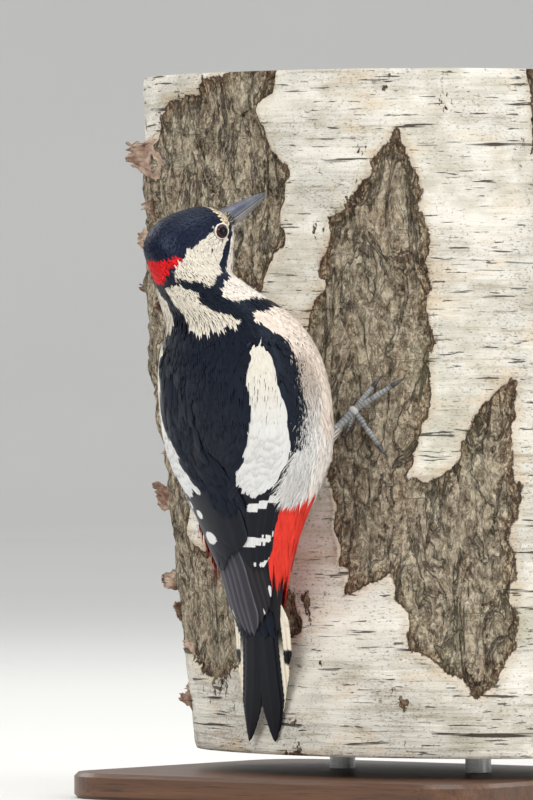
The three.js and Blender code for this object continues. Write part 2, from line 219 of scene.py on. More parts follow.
def envelope(t, angle, out=0.0):
    """The plumage's outer surface: at station t a superellipse ring, grown outwards by out, and posed."""
    t, angle = np.broadcast_arrays(np.asarray(t, float), np.asarray(angle, float))
    by, bz, fy, fz, half, turn = spline(LINES, t)
    a = np.radians(angle)
    backward = np.cos(a)
    power = 2 / mix(RING_FRONT, RING_BACK, (1 + backward) / 2)
    width = half * (1 - RING_TAPER * (1 + backward))
    across = width * np.sign(np.sin(a)) * np.abs(np.sin(a)) ** power
    along = np.sign(backward) * np.abs(backward) ** power
    depth = np.hypot(by - fy, bz - fz) / 2
    grow = 1 + out / np.maximum(np.hypot(across, depth * along), 1.0)
    y = (by + fy) / 2 + (by - fy) / 2 * along * grow
    z = (bz + fz) / 2 + (bz - fz) / 2 * along * grow
    return pose(across * grow, y, z, turn)


EYE_PLACES = [head_point(EYE_FORWARD, EYE_UP, side * (EYE_SIDE + EYE_RADIUS)) for side in (RIGHT, LEFT)]


def body_surface(t, angle, out=0.0):
    """The envelope with a shallow socket round each eye, fuller on the left of the neck."""
    t, angle = np.broadcast_arrays(np.asarray(t, float), np.asarray(angle, float))
    points = envelope(t, angle, 0.0)
    near = np.min([np.linalg.norm(points - place, axis=-1) for place in EYE_PLACES], axis=0)
    full = 2.1 * np.exp(-(((t - 8.5) / 0.85) ** 2) - ((angle + 66) / 40) ** 2)
    return envelope(t, angle, out + full - 0.9 * np.exp(-((near / 3.6) ** 4)))


def wing_surface(side):
    """Returns the sheet of one folded wing as a function of the share s of its length and w of its width."""

    def sheet(s, w, out=0.0):
        s, w = np.broadcast_arrays(np.asarray(s, float), np.asarray(w, float))
        t, inner, outer, off = spline(WING_LINES, np.clip(s, -0.3, 1.08) * 11)
        half = mix(WING_ROOT_THICK, WING_TIP_THICK, np.clip(s, 0, 1)) / 2
        bulge = np.sin(np.pi * np.clip(w, 0.02, 0.98)) ** 0.5
        return envelope(t, side * mix(inner, outer, w), off + half * bulge + out)

    return sheet


# ---- markings, the same on skin and coat

# Each outline is in station t and marking angle m, on the right side; the left mirrors it.
CHEEK = [
    (0.0, 0), (1.62, 0), (1.72, 34), (1.66, 60), (1.82, 78), (2.05, 92), (2.15, 101), (2.55, 98), (3.0, 97),
    (3.35, 92), (3.4, 86), (3.3, 80), (3.5, 77), (4.1, 82), (4.6, 77), (5.2, 72), (5.7, 66), (6.3, 55),
    (6.9, 40), (7.2, 33), (7.36, 34), (7.34, 48), (7.36, 62), (7.5, 71), (7.4, 80), (7.1, 86), (6.5, 95),
    (5.8, 105), (4.9, 110), (4.2, 111), (3.3, 109), (2.5, 108), (1.8, 100), (1.2, 91), (0.6, 78), (0.0, 58),
]
EYE_RING = (2.92, 88, 0.42, 13)
THROAT = [
    (0.0, 104), (1.2, 108), (2.0, 115), (2.6, 119), (3.4, 122), (4.9, 122), (5.9, 112), (6.8, 99), (7.5, 88),
    (7.95, 79), (8.08, 90), (7.98, 104), (7.82, 116), (7.85, 134), (7.95, 181), (0.0, 181),
]
NECK = [
    (7.66, 12), (7.55, 34), (7.66, 45), (7.82, 53), (8.08, 49), (8.26, 43), (8.42, 46), (8.6, 52), (8.68, 64),
    (8.88, 67), (9.0, 68), (9.16, 61), (9.22, 50), (9.38, 38), (9.36, 28), (9.42, 20), (9.2, 11), (8.8, 11),
    (8.2, 9),
]
NAPE = [
    (6.55, -1), (6.62, 14), (6.45, 34), (6.1, 55), (6.42, 52), (6.95, 36), (7.26, 22), (7.5, 8), (7.5, -1)
]
# Stations, and the marking angle less the body's angle at each.
MARK_SHIFT = np.array([
    [0, 6, 6.6, 7.1, 7.7, 9.3, 10, 11, 12, 13, 14, 19], [0, 0, 3, 9, 17, 17, 11, 6, 5, 7, 8, 6]
])

CROWN_BLACK, BACK_BLACK, FACE_BUFF, CHEEK_WHITE = 0, 1, 2, 3
NECK_WHITE, THROAT_WHITE, BREAST_BUFF, BELLY_BUFF, NAPE_RED, VENT_RED = 4, 5, 6, 7, 8, 9


def marking(t, angle):
    """Number of the plumage colour at a place of the body, from the outlines above and the flank's border."""
    t, angle = np.broadcast_arrays(t, angle)
    m = (angle + np.interp(t, *MARK_SHIFT) + 180) % 360 - 180
    m = np.abs(m) + np.where(m < 0, 7 * np.exp(-(((t - 8.5) / 0.7) ** 2)), 0)
    border = np.interp(t, [8.0, 8.45, 8.7, 9.1, 9.3, 9.7, 11, 12], [150, 118, 82, 84, 92, 96, 84, 74])
    breast, cheek = (m > border) & (t > 8.36), inside(CHEEK, t, m)
    ct, ca, rt, ra = EYE_RING
    found = np.where(t < 7.2, CROWN_BLACK, BACK_BLACK)
    for where, number in (
        (breast, BREAST_BUFF),
        (breast & (t > 12.4), BELLY_BUFF),
        (t > 16.9, BACK_BLACK),
        ((t > 14.45) & (m > 58 + 62 * smooth_step(16.8, 17.3, t)), VENT_RED),
        (inside(THROAT, t, m), THROAT_WHITE),
        (inside(NECK, t, m), NECK_WHITE),
        (cheek, CHEEK_WHITE),
        (cheek & (t < 2.1), FACE_BUFF),
        (((t - ct) / rt) ** 2 + ((m - ca) / ra) ** 2 < 1, CHEEK_WHITE),
        (inside(NAPE, t, m), NAPE_RED),
    ):
        found = np.where(where, number, found)
    return found


# ---- settings


def colour(label, text, value):
    """A colour setting in linear light."""
    limits = {"subtype": "COLOR", "size": 3, "min": 0, "max": 1}
    return FloatVectorProperty(name=label, description=text, default=value, **limits)


def length(label, text, value, low=0.0, high=0.5):
    """A length setting in metres."""
    limits = {"min": low, "max": high, "unit": "LENGTH", "precision": 5}
    return FloatProperty(name=label, description=text, default=value, **limits)


class WoodpeckerPlumage(bpy.types.PropertyGroup):
    """Sizes and colours of the feathers."""

    crown_black: colour("Crown black", "Glossy blue-black of the crown", linear(11, 15, 38))
    back_black: colour("Back black", "Blue-black of the mantle and wings", linear(9, 11, 25))
    face_buff: colour("Forehead buff", "Band over the bill", linear(222, 206, 174))
    cheek_white: colour("Cheek white", "Soft white of the cheek", linear(222, 213, 197))
    neck_white: colour("Neck white", "Patch on the side of the neck", linear(228, 219, 203))
    throat_white: colour("Throat white", "Throat and foreneck", linear(240, 230, 218))
    breast_buff: colour("Breast buff", "Breast and flanks", linear(240, 224, 209))
    belly_buff: colour("Belly buff", "Lower breast and belly", linear(243, 234, 226))
    nape_red: colour("Nape red", "Patch of the male's nape", linear(224, 14, 16))
    vent_red: colour("Vent red", "Vent and undertail coverts", linear(238, 60, 42))
    patch_white: colour("Wing patch white", "Scapulars and wing bars", linear(226, 226, 225))
    quill_brown: colour("Flight feather black", "Primaries, worn to brown-grey", linear(30, 26, 28))
    coat_depth: length("Coat depth", "How deep the skin lies under the feathers' tips", 0.0024, 0.001, 0.006)
    crown_spacing: length("Head spacing", "Between feather roots on the head", 0.00105, 0.0006, 0.003)
    body_spacing: length("Body spacing", "Between feather roots on the body", 0.0021, 0.0012, 0.006)


class WoodpeckerPerch(bpy.types.PropertyGroup):
    """Sizes and colours of the birch log."""

    paper_white: colour("Papery bark", "Smooth outer bark", linear(231, 227, 216))
    crust_brown: colour("Crusty bark", "Rough cracked bark", linear(142, 120, 92))
    crack_dark: colour("Cracks", "Depth of cracks and lenticels", linear(52, 43, 33))
    columns: IntProperty(name="Columns", description="Faces round the log", default=404, min=60, max=900)
    rows: IntProperty(name="Rows", description="Faces up the log", default=206, min=40, max=500)


class WoodpeckerStage(bpy.types.PropertyGroup):
    """The camera and its lights."""

    distance: length("Camera distance", "From the camera to the bird", 3.0, 0.5, 10)
    view_height: length("Frame height", "Height of what the camera shows at the bird", 0.302, 0.1, 1)
    azimuth: FloatProperty(
        name="Azimuth", description="Camera's turn round the bird", default=np.radians(36), subtype="ANGLE"
    )
    floor: colour("Floor", "Pale floor and backdrop", (0.78, 0.77, 0.74))


def settings():
    """The scene's own setting groups: plumage, perch and stage."""
    scene = bpy.context.scene
    return scene.woodpecker_plumage, scene.woodpecker_perch, scene.woodpecker_stage


def palette():
    """Plumage colours in the order of the marking numbers."""
    p = settings()[0]
    names = ("crown_black", "back_black", "face_buff", "cheek_white", "neck_white", "throat_white")
    names += ("breast_buff", "belly_buff", "nape_red", "vent_red")
    return np.array([tuple(getattr(p, n)) for n in names])


# ---- mesh tools


def put_mesh(name, points, faces, material, slot, colours=None, maps=None, values=None, normals=None):
    """Makes one object from points in millimetres and arrays of quads or triangles, with its point colours,
    UV maps given at points, float values and normals."""
    mesh = bpy.data.meshes.new(name)
    corners = np.concatenate([f.ravel() for f in faces])
    sizes = np.concatenate([np.full(len(f), f.shape[1]) for f in faces])
    mesh.vertices.add(len(points))
    mesh.vertices.foreach_set("co", (points * MM).astype(np.float32).ravel())
    mesh.loops.add(len(corners))
    mesh.loops.foreach_set("vertex_index", corners.astype(np.int32))
    mesh.polygons.add(len(sizes))
    mesh.polygons.foreach_set("loop_start", (np.cumsum(sizes) - sizes).astype(np.int32))
    mesh.update(calc_edges=True)
    mesh.polygons.foreach_set("use_smooth", np.ones(len(sizes), bool))
    for key, spots in (maps or {}).items():
        layer = mesh.uv_layers.new(name=key)
        layer.data.foreach_set("uv", spots[corners].astype(np.float32).ravel())
    if colours is not None:
        rgba = np.ones((len(points), 4), np.float32)
        rgba[:, : colours.shape[1]] = colours
        layer = mesh.color_attributes.new(name="Coat", type="FLOAT_COLOR", domain="POINT")
        layer.data.foreach_set("color", rgba.ravel())
    for key, numbers in (values or {}).items():
        layer = mesh.attributes.new(key, "FLOAT", "POINT")
        layer.data.foreach_set("value", numbers.astype(np.float32))
    if normals is not None:
        mesh.normals_split_custom_set_from_vertices(unit(normals).astype(np.float32))
    mesh.materials.append(material)
    piece = bpy.data.objects.new(name, mesh)
    bpy.context.scene.collection.objects.link(piece)
    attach(piece, "root")
    return piece


def grid_quads(rows, cols, closed=False):
    """Quads of a grid of points, row by row. A closed grid joins its last column to its first."""
    r, c = np.meshgrid(np.arange(rows - 1), np.arange(cols if closed else cols - 1), indexing="ij")
    a, b = r * cols + c, r * cols + (c + 1) % cols
    return np.stack([a, b, b + cols, a + cols], -1).reshape(-1, 4)


def tube(rings):
    """Points and faces of a closed skin round rings of points, shape (rows, around, 3). Its ends close at
    their middles, and its faces are turned outwards."""
    rows, cols, _ = rings.shape
    points = np.vstack([rings.reshape(-1, 3), rings[0].mean(0), rings[-1].mean(0)])
    quads = grid_quads(rows, cols, closed=True)
    k = np.arange(cols)
    after = (k + 1) % cols
    first, last, end = rows * cols, rows * cols + 1, (rows - 1) * cols
    low = np.stack([np.full(cols, first), after, k], -1)
    high = np.stack([np.full(cols, last), end + k, end + after], -1)
    faces = [quads, np.vstack([low, high])]
    a, b, c = (points[quads[:, i]] for i in (0, 1, 2))
    outward = (a - np.repeat(rings.mean(1)[:-1], cols, axis=0)) * np.cross(b - a, c - a)
    return points, [f[:, ::-1] for f in faces] if outward.sum() < 0 else faces


def join_shapes(shapes):
    """Several (points, faces) as one."""
    points, quads, triangles, start = [], [], [], 0
    for shape_points, faces in shapes:
        points.append(shape_points)
        for f in faces:
            (quads if f.shape[1] == 4 else triangles).append(f + start)
        start += len(shape_points)
    faces = [np.vstack(kind) for kind in (quads, triangles) if kind]
    return np.vstack(points), faces


def path_frames(path):
    """Tangents and two cross directions along a path of points, carried without twist."""
    tangents = unit(np.gradient(path, axis=0))
    normal = unit(np.cross(tangents[0], [0.3, 0.2, 1.0]))
    normals = []
    for tangent in tangents:
        normal = unit(normal - tangent * (normal @ tangent))
        normals.append(normal)
    normals = np.array(normals)
    return tangents, normals, np.cross(tangents, normals)


def smooth_path(knots, count):
    """A Catmull-Rom curve of count points through knots."""
    knots = np.array(knots, float)
    return spline(knots.T, np.linspace(0, len(knots) - 1, count)).T


def swept(path, radii, count):
    """A round bar: rings of the given radii, with count points each, across a path."""
    _, n, b = path_frames(path)
    a = ring_angles(count)
    ring = n[:, None] * np.cos(a)[None, :, None] + b[:, None] * np.sin(a)[None, :, None]
    radii = np.broadcast_to(np.asarray(radii, float), (len(path),))
    return tube(path[:, None] + ring * radii[:, None, None])


# ---- feathers


def spread_roots(surface, low, high, spacing, seed, span=(-180, 180), keep=None):
    """Feather roots in rows across a surface of (p, q). Rows lie a spacing apart where the surface is
    longest, and are thinned by chance where it is shorter. Roots in a row are evenly spaced, with a little
    scatter."""
    rng = np.random.default_rng(seed)
    q = np.linspace(*span, 361)
    found_p, found_q = [], []
    p, step = low, (high - low) / 4000
    while p < high:
        row = surface(np.full(q.shape, p), q)
        speed = np.linalg.norm(surface(np.full(q.shape, p + step), q) - row, axis=-1) / step
        run = np.concatenate([[0], np.cumsum(np.linalg.norm(np.diff(row, axis=0), axis=-1))])
        count = max(1, int(run[-1] / spacing))
        at = (np.arange(count) + rng.uniform(-0.35, 0.35, count) + rng.uniform()) * run[-1] / count
        place = np.interp(at % run[-1], run, q)
        chosen = rng.uniform(size=count) < np.interp(place, q, speed) / speed.max()
        advance = spacing / speed.max()
        found_p.append(p + rng.uniform(-0.4, 0.4, chosen.sum()) * advance)
        found_q.append(place[chosen])
        p += advance
    p, q = np.concatenate(found_p), np.concatenate(found_q)
    chosen = keep(p, q) if keep else slice(None)
    return p[chosen], q[chosen]


def local_steps(surface, p, q, step_p, step_q, lean):
    """At each root: how far p and q move for a millimetre along the feather's lie and across it, the
    surface's normal, and the way across. The lie is the way of growing p, turned by lean to growing q."""
    base = surface(p, q)
    along = (surface(p + step_p, q) - base) / step_p
    around = (surface(p, q + step_q) - base) / step_q
    e1 = unit(along)
    n = unit(np.cross(along, around))
    n = n * np.sign(np.sum(n * (surface(p, q, 1.0) - base), -1, keepdims=True))
    e2 = unit(np.cross(n, e1))
    e2 = e2 * np.sign(np.sum(e2 * around, -1, keepdims=True))
    c, s = np.cos(lean)[:, None], np.sin(lean)[:, None]
    aa, ab, bb = (np.sum(x * y, -1) for x, y in ((along, along), (along, around), (around, around)))
    det = aa * bb - ab * ab
    det = np.maximum(det, 0.15 * np.median(det))

    def steps(v):
        va, vb = np.sum(v * along, -1), np.sum(v * around, -1)
        return (va * bb - vb * ab) / det, (vb * aa - va * ab) / det

    lie, side = c * e1 + s * e2, c * e2 - s * e1
    return steps(lie), steps(side), n, side


def vane_faces(rows, cols, count=1):
    """Faces of closed thin vanes, each an upper grid and a lower one that shares its rim, as
    (count, faces, 4)."""
    inner = (rows - 2) * (cols - 2)
    upper = np.arange(rows * cols).reshape(rows, cols)
    lower = upper.copy()
    lower[1:-1, 1:-1] = rows * cols + np.arange(inner).reshape(rows - 2, cols - 2)
    top = grid_quads(rows, cols)
    faces = np.vstack([top, lower.ravel()[top][:, ::-1]])
    return faces + (rows * cols + inner) * np.arange(count)[:, None, None]


def both_sides(upper, lower=None):
    """Values of each feather's upper grid, then those of its lower one, which has no rim."""
    parts = (upper, (upper if lower is None else lower)[:, 1:-1, 1:-1])
    return np.concatenate([part.reshape(len(part), -1, *part.shape[3:]) for part in parts], 1)


def vanes(surface, p, q, size, half, *, rows=5, cols=9, fray=0.3, depth=2.2, rise=0.2, lean=0.0, bend=0.0,
          blunt=0.35, camber=0.25, ruffle=0.15, steps=(0.02, 0.5), seed=0, thick=0.12, tilt=0.06):
    """Many feathers on a surface, as points (feathers, points, 3), with normals, own coordinates and faces.

    A feather starts depth under the surface and comes up to it at its tip, plus rise. Its half-width grows
    from a third at the root to full at 60% and narrows to the tip, which is rounded by blunt and split into
    barbs by fray: every second column is shorter. bend carries the tip sideways, ruffle is chance in height,
    and tilt is chance in the normals."""
    rng = np.random.default_rng(seed)
    count = len(p)
    size, half, fray, depth, rise, lean, bend = (
        np.broadcast_to(np.asarray(x, float), (count,)) for x in (size, half, fray, depth, rise, lean, bend)
    )
    (lp, lq), (sp, sq), normal, side = local_steps(surface, p, q, *steps, lean)
    tip_normal = local_steps(surface, p + size * lp, q + size * lq, *steps, lean)[2]
    p, q, size, half, fray, depth, bend, lp, lq, sp, sq, rise = (
        x[:, None, None] for x in (p, q, size, half, fray, depth, bend * size, lp, lq, sp, sq, rise)
    )
    f, u = (x[None] for x in shares(rows, cols))
    notch = np.where(np.arange(cols) % 2 == 0, 1.0, 0.0) * rng.uniform(0.5, 1.0, (count, 1, cols)) * fray
    reach = 1 - blunt * np.abs(u) ** 2.2 - notch + rng.uniform(-0.06, 0.06, (count, 1, cols))
    reach = np.maximum(reach, 0.2)
    v = reach * (1 - (1 - f) ** (1 / reach))
    profile = 0.34 + 0.66 * np.sin(np.pi * np.clip(0.06 + 0.80 * f, 0, 1)) ** 0.8
    x = half * profile * u + bend * v**2
    y = size * v
    height = -depth * np.maximum(1 - v, 0) ** 1.6
    height = height + (rise + rng.normal(0, ruffle, count)[:, None, None]) * v**2
    height = height - camber * half * u**2 * 0.5
    turn = rng.normal(0, tilt, (count, 1, 1, 3))
    upper = mix(normal[:, None, None], tip_normal[:, None, None], v[..., None]) + turn
    upper = unit(upper + 0.30 * side[:, None, None] * u[..., None])
    places = (both_sides(p + y * lp + x * sp), both_sides(q + y * lq + x * sq))
    return {
        "points": surface(*places, both_sides(height, height - thick)),
        "normals": both_sides(upper, -upper),
        "own": both_sides(np.stack([x, y], -1)),
        "share": np.clip(both_sides(y) / size[:, 0], 0, 1),
        "faces": vane_faces(rows, cols, count),
        "root": np.stack([q, p], -1)[:, 0, 0],
    }


def vane_colours(feathers, colours, seed, *, base=0.75, streak=0.05, vary=0.06):
    """Point colours of feathers: each feather's own colour, varied a little, and darker to its root."""
    rng = np.random.default_rng(seed)
    count, per, _ = feathers["points"].shape
    shade = mix(base, 1.0, smooth_step(0.1, 0.8, feathers["share"]))
    shade = shade * (1 + rng.normal(0, vary, (count, 1))) * (1 + rng.normal(0, streak, (count, per)))
    return colours[:, None, :] * np.clip(shade, 0.2, 1.6)[:, :, None]


def put_feathers(name, groups, material, slot, owns, bakes, values=None):
    """One object from groups of (feathers, colours), with each group's maps Vane and OFBake. A group's faces
    are turned over if they look against its normals."""
    faces, start = [], 0
    for g, _ in groups:
        points, quads = g["points"], g["faces"]
        top = quads[0, : quads.shape[1] // 2]
        a, b, c = (points[:, top[:, i]] for i in (0, 1, 2))
        up = np.sum(np.cross(b - a, c - a) * g["normals"][:, top[:, 0]])
        faces.append((quads if up > 0 else quads[..., ::-1]) + start)
        start += points.shape[0] * points.shape[1]

    def flat(arrays):
        return np.vstack([a.reshape(-1, a.shape[-1]) for a in arrays])

    points, normals = (flat([g[key] for g, _ in groups]) for key in ("points", "normals"))
    return put_mesh(
        name, points, [flat(faces)], material, slot, colours=flat([tint for _, tint in groups]),
        maps={"OFBake": flat(bakes), "Vane": flat(owns)}, values=values, normals=normals,
    )


def put_vanes(name, groups, material, slot, patch=0.003):
    """One object from groups of small feathers. On the bake map each has a patch at its root's place on an
    unwrap of the surface, and the map Vane holds its own coordinates in millimetres."""
    roots = np.vstack([g["root"] for g, _ in groups])
    low, high = roots.min(0), roots.max(0)
    owns, bakes = [], []
    for index, (g, _) in enumerate(groups):
        own = g["own"]
        owns.append(own + np.random.default_rng(index).uniform(0, 40, (len(own), 1, 2)))
        place = 0.01 + 0.98 * (g["root"] - low) / np.maximum(high - low, 1e-6)
        bakes.append(place[:, None] + patch * (own / np.abs(own).max((0, 1)) - [0, 0.5]))
    return put_feathers(name, groups, material, slot, owns, bakes)

# ---- materials


class Finish:
    """A material in the making. Values given as sockets are linked, and others are set."""

    def __init__(self, name):
        self.material = bpy.data.materials.new(name)
        self.material.use_nodes = True
        self.tree = self.material.node_tree
        self.tree.nodes.clear()
        self.shader = self.add("ShaderNodeBsdfPrincipled")
        output = self.add("ShaderNodeOutputMaterial")
        self.tree.links.new(self.shader.outputs[0], output.inputs[0])

    def set(self, socket, value):
        """Links or sets one input."""
        if isinstance(value, bpy.types.NodeSocket):
            self.tree.links.new(value, socket)
        elif hasattr(value, "__len__") and len(value) == 3 and len(socket.default_value) == 4:
            socket.default_value = (*value, 1)
        else:
            socket.default_value = value

    def add(self, kind, props=None, inputs=None):
        """A node with its properties and its inputs by name or number."""
        node = self.tree.nodes.new(kind)
        for key, value in (props or {}).items():
            setattr(node, key, value)
        for key, value in (inputs or {}).items():
            self.set(node.inputs[key], value)
        return node

    def surface(self, **inputs):
        """Sets the shader's inputs, with spaces in their names as underscores."""
        for key, value in inputs.items():
            self.set(self.shader.inputs[key.replace("_", " ")], value)
        return self.material

    def place(self, scale, turn=(0, 0, 0), on=None):
        """Coordinates of the object, or of the UV map named on, scaled and turned."""
        if on:
            source = self.add("ShaderNodeUVMap", {"uv_map": on}).outputs[0]
        else:
            source = self.add("ShaderNodeTexCoord").outputs["Object"]
        scale = scale if isinstance(scale, tuple) else (scale,) * 3
        inputs = {"Vector": source, "Scale": scale, "Rotation": turn}
        return self.add("ShaderNodeMapping", None, inputs).outputs[0]

    def value(self, name, output="Fac"):
        """A float or colour kept on the mesh."""
        return self.add("ShaderNodeAttribute", {"attribute_name": name}).outputs[output]

    def noise(self, scale, turn=(0, 0, 0), on=None, detail=3.0, rough=0.5, distort=0.0):
        """Noise from 0 to 1 on scaled coordinates."""
        inputs = {"Vector": self.place(scale, turn, on), "Scale": 1.0, "Detail": detail}
        inputs.update({"Roughness": rough, "Distortion": distort})
        return self.add("ShaderNodeTexNoise", None, inputs).outputs[0]

    def span(self, x, low, high, to_low=0.0, to_high=1.0):
        """x carried from one span to another and held within it."""
        inputs = {"Value": x, "From Min": low, "From Max": high, "To Min": to_low, "To Max": to_high}
        return self.add("ShaderNodeMapRange", None, inputs).outputs[0]

    def sum(self, a, b, kind="ADD"):
        """Two numbers put together by a kind of arithmetic."""
        return self.add("ShaderNodeMath", {"operation": kind}, {0: a, 1: b}).outputs[0]

    def times(self, a, b):
        """Two numbers multiplied."""
        return self.sum(a, b, "MULTIPLY")

    def near(self, x, middle, reach, top=1.0):
        """A number that is top where x is at the middle and falls to 0 a reach away."""
        off = self.sum(self.sum(x, -middle), 0.0, "ABSOLUTE")
        return self.span(off, 0.0, reach, top, 0)

    def blend(self, share, a, b, kind="MIX"):
        """Two colours blended by a share."""
        node = self.add("ShaderNodeMix", {"data_type": "RGBA", "blend_type": kind}, {0: share})
        self.set(node.inputs[6], a)
        self.set(node.inputs[7], b)
        return node.outputs[2]

    def ramp(self, x, low, high, a, b):
        """Colour a turning to colour b as x goes from low to high."""
        return self.blend(self.span(x, low, high), linear(*a), linear(*b))

    def layers(self, tint, *coats):
        """Colours laid over a tint one by one, each as its number goes from low to high, up to a share."""
        for x, low, high, most, colour in coats:
            tint = self.blend(self.span(x, low, high, 0, most), tint, linear(*colour))
        return tint

    def shade(self, tint, x, low, high, to_low, to_high):
        """A tint made darker or lighter as x goes from low to high."""
        x = self.span(x, low, high, to_low, to_high)
        grey = self.add("ShaderNodeCombineColor", None, {0: x, 1: x, 2: x}).outputs[0]
        return self.blend(1.0, tint, grey, "MULTIPLY")

    def bump(self, height, strength, distance, under=None):
        """A bump from a height, in metres."""
        inputs = {"Height": height, "Strength": strength, "Distance": distance}
        if under is not None:
            inputs["Normal"] = under
        return self.add("ShaderNodeBump", None, inputs).outputs[0]


def coat_finish(name, fibre=(2.4, 0.16), depth=0.00012, spots=False, gloss=(0.62, 0.78, 1.0)):
    """Feathers: the mesh's own colours with fine streaks along each feather, glossier where dark."""
    m = Finish(name)
    tint = m.value("Coat", "Color")
    if spots:
        edge = m.noise((3.0, 1.2, 1), on="Vane", detail=2)
        border = m.sum(m.value("spot"), m.span(edge, 0.3, 0.7, -0.22, 0.22))
        tint = m.blend(m.span(border, 0.08, -0.08), tint, tuple(settings()[0].patch_white))
    streak = m.noise((*fibre, 1), on="Vane", detail=4, rough=0.6)
    light = m.add("ShaderNodeRGBToBW", None, {0: tint}).outputs[0]
    low, high = m.span(light, 0.02, 0.4, 0.62, 0.88), m.span(light, 0.02, 0.4, 1.3, 1.1)
    return m.surface(
        Base_Color=m.shade(tint, streak, 0.25, 0.75, low, high), Normal=m.bump(streak, 0.4, depth),
        Roughness=m.span(light, 0.02, 0.35, 0.40, 0.75), Specular_IOR_Level=0.28, Specular_Tint=gloss,
        Sheen_Weight=0.03, Sheen_Roughness=0.4, Sheen_Tint=(0.55, 0.68, 1.0),
    )


# ---- skin


def coat_depth(t):
    """How deep the skin lies under the coat's outer surface at a station, in millimetres."""
    depth = settings()[0].coat_depth / MM / 2.4
    return depth * np.interp(t, [0, 2, 5, 8, 10, 14, 17, 19], [0.7, 0.8, 1.1, 1.9, 2.4, 2.6, 2.2, 1.4])


LEG_HIP, LEG_HEEL, LEG_BALL = (22.0, -16.0, 108.0), (15.0, -5.0, 112.0), (18.9, 125.5)


def leg_place(side, place):
    """A point of the right leg's measures on one side, swayed with the body."""
    x, y, z = place
    return np.array([sway(z) + side * x, y, z]) + TAIL_TIP


def thigh_path(side, count):
    """The thigh's middle line from hip to heel, bowed upwards at the knee."""
    hip, heel = leg_place(side, LEG_HIP), leg_place(side, LEG_HEEL)
    return smooth_path([hip, (hip + heel) / 2 + [0, -0.5, 1.5], heel], count)


def build_skin():
    """The skin of head, neck and trunk, a ring of angles at each station sunk by the coat's depth, with both
    thighs. The marking numbers give its colours."""
    t = np.linspace(0.02, 18.6, 190)[:, None]
    angle = np.linspace(-180, 180, 121)[None, :-1]
    shapes = [tube(body_surface(t, angle, -coat_depth(t)))]
    tints = [palette()[marking(t, angle + 0 * t)].reshape(-1, 3)]
    tints.append(tints[0][[0, -1]])
    for side in (RIGHT, LEFT):
        radii = mix(5.6, 1.9, np.linspace(0, 1, 16) ** 1.4)
        shapes.append(swept(thigh_path(side, 16), radii, 20))
        tints.append(np.tile(palette()[BELLY_BUFF], (len(shapes[-1][0]), 1)))
    points, faces = join_shapes(shapes)
    m = Finish("skin")
    grain = m.noise((900, 900, 300), detail=4)
    tint = m.shade(m.value("Coat", "Color"), grain, 0.3, 0.7, 0.45, 0.8)
    material = m.surface(Base_Color=tint, Roughness=0.8, Normal=m.bump(grain, 0.6, 0.0004))
    skin = put_mesh("skin", points, faces, material, "plumage_dark", colours=np.vstack(tints))
    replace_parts(skin, "head", "neck", "trunk", "thigh_left", "thigh_right")


# ---- coat


def down_feather(surface, p, q, size, lean, share):
    """The place (p, q) a share of the way from each root to its feather's tip."""
    lp, lq = local_steps(surface, p, q, 0.02, 0.5, lean)[0]
    return p + share * size * lp, q + share * size * lq


def spare_eyes(p, q, size, lean):
    """Feather lengths cut so that none lies over an eye, and which feathers stay."""
    kept = size.copy()
    for f in np.linspace(0.0, 1.0, 9):
        points = body_surface(*down_feather(body_surface, p, q, size, lean, f), 0.0)
        near = np.min([np.linalg.norm(points - place, axis=-1) for place in EYE_PLACES], axis=0)
        kept = np.where(near < 2.95, np.minimum(kept, np.maximum(f - 0.12, 0) * size), kept)
    return kept, kept > 0.7


def tinted(p, q, size, lean):
    """Marking number halfway along each feather of the body."""
    return marking(*down_feather(body_surface, p, q, size, lean, 0.5))


def wing_edges(t):
    """Angles of the inner and outer edge of the folded wing at a station."""
    return [np.interp(t, WING_LINES[0], line) for line in WING_LINES[1:3]]


def under_wing(t, angle):
    """True where a folded wing hides the body's coat."""
    inner, outer = wing_edges(t)
    return (t > 10.4) & (t < 18) & (np.abs(angle) > inner + 6) & (np.abs(angle) < outer - 12)


def build_head_coat():
    """Short flat feathers of the head, smallest at the bill, and none over the eyes."""
    p, q = spread_roots(body_surface, 0.05, 7.7, settings()[0].crown_spacing / MM, 11)
    rng = np.random.default_rng(12)
    lean = rng.normal(0, 0.08, len(p))
    size = np.interp(p, [0, 1, 3, 5, 7.7], [1.7, 2.3, 3.2, 4.4, 6.2]) * rng.uniform(0.85, 1.15, len(p))
    size, kept = spare_eyes(p, q, size, lean)
    p, q, size, lean = picked(kept, p, q, size, lean)
    number = tinted(p, q, size, lean)
    soft = np.isin(number, (CHEEK_WHITE, FACE_BUFF, THROAT_WHITE, NECK_WHITE, NAPE_RED))
    feathers = vanes(
        body_surface, p, q, size, size * 0.17 + 0.2, rows=4, cols=5, fray=np.where(soft, 0.35, 0.18),
        depth=np.interp(p, [0, 3, 7.7], [0.18, 0.26, 0.5]), rise=0.05, ruffle=0.015, lean=lean, seed=13,
        thick=0.05, camber=0.04, tilt=0.04,
    )
    tint = vane_colours(feathers, palette()[number], 14, base=0.93, vary=0.03, streak=0.02)
    put_vanes("coat_head", [(feathers, tint)], coat_finish("coat_head", (3.2, 0.3), 0.00008), "plumage_dark")


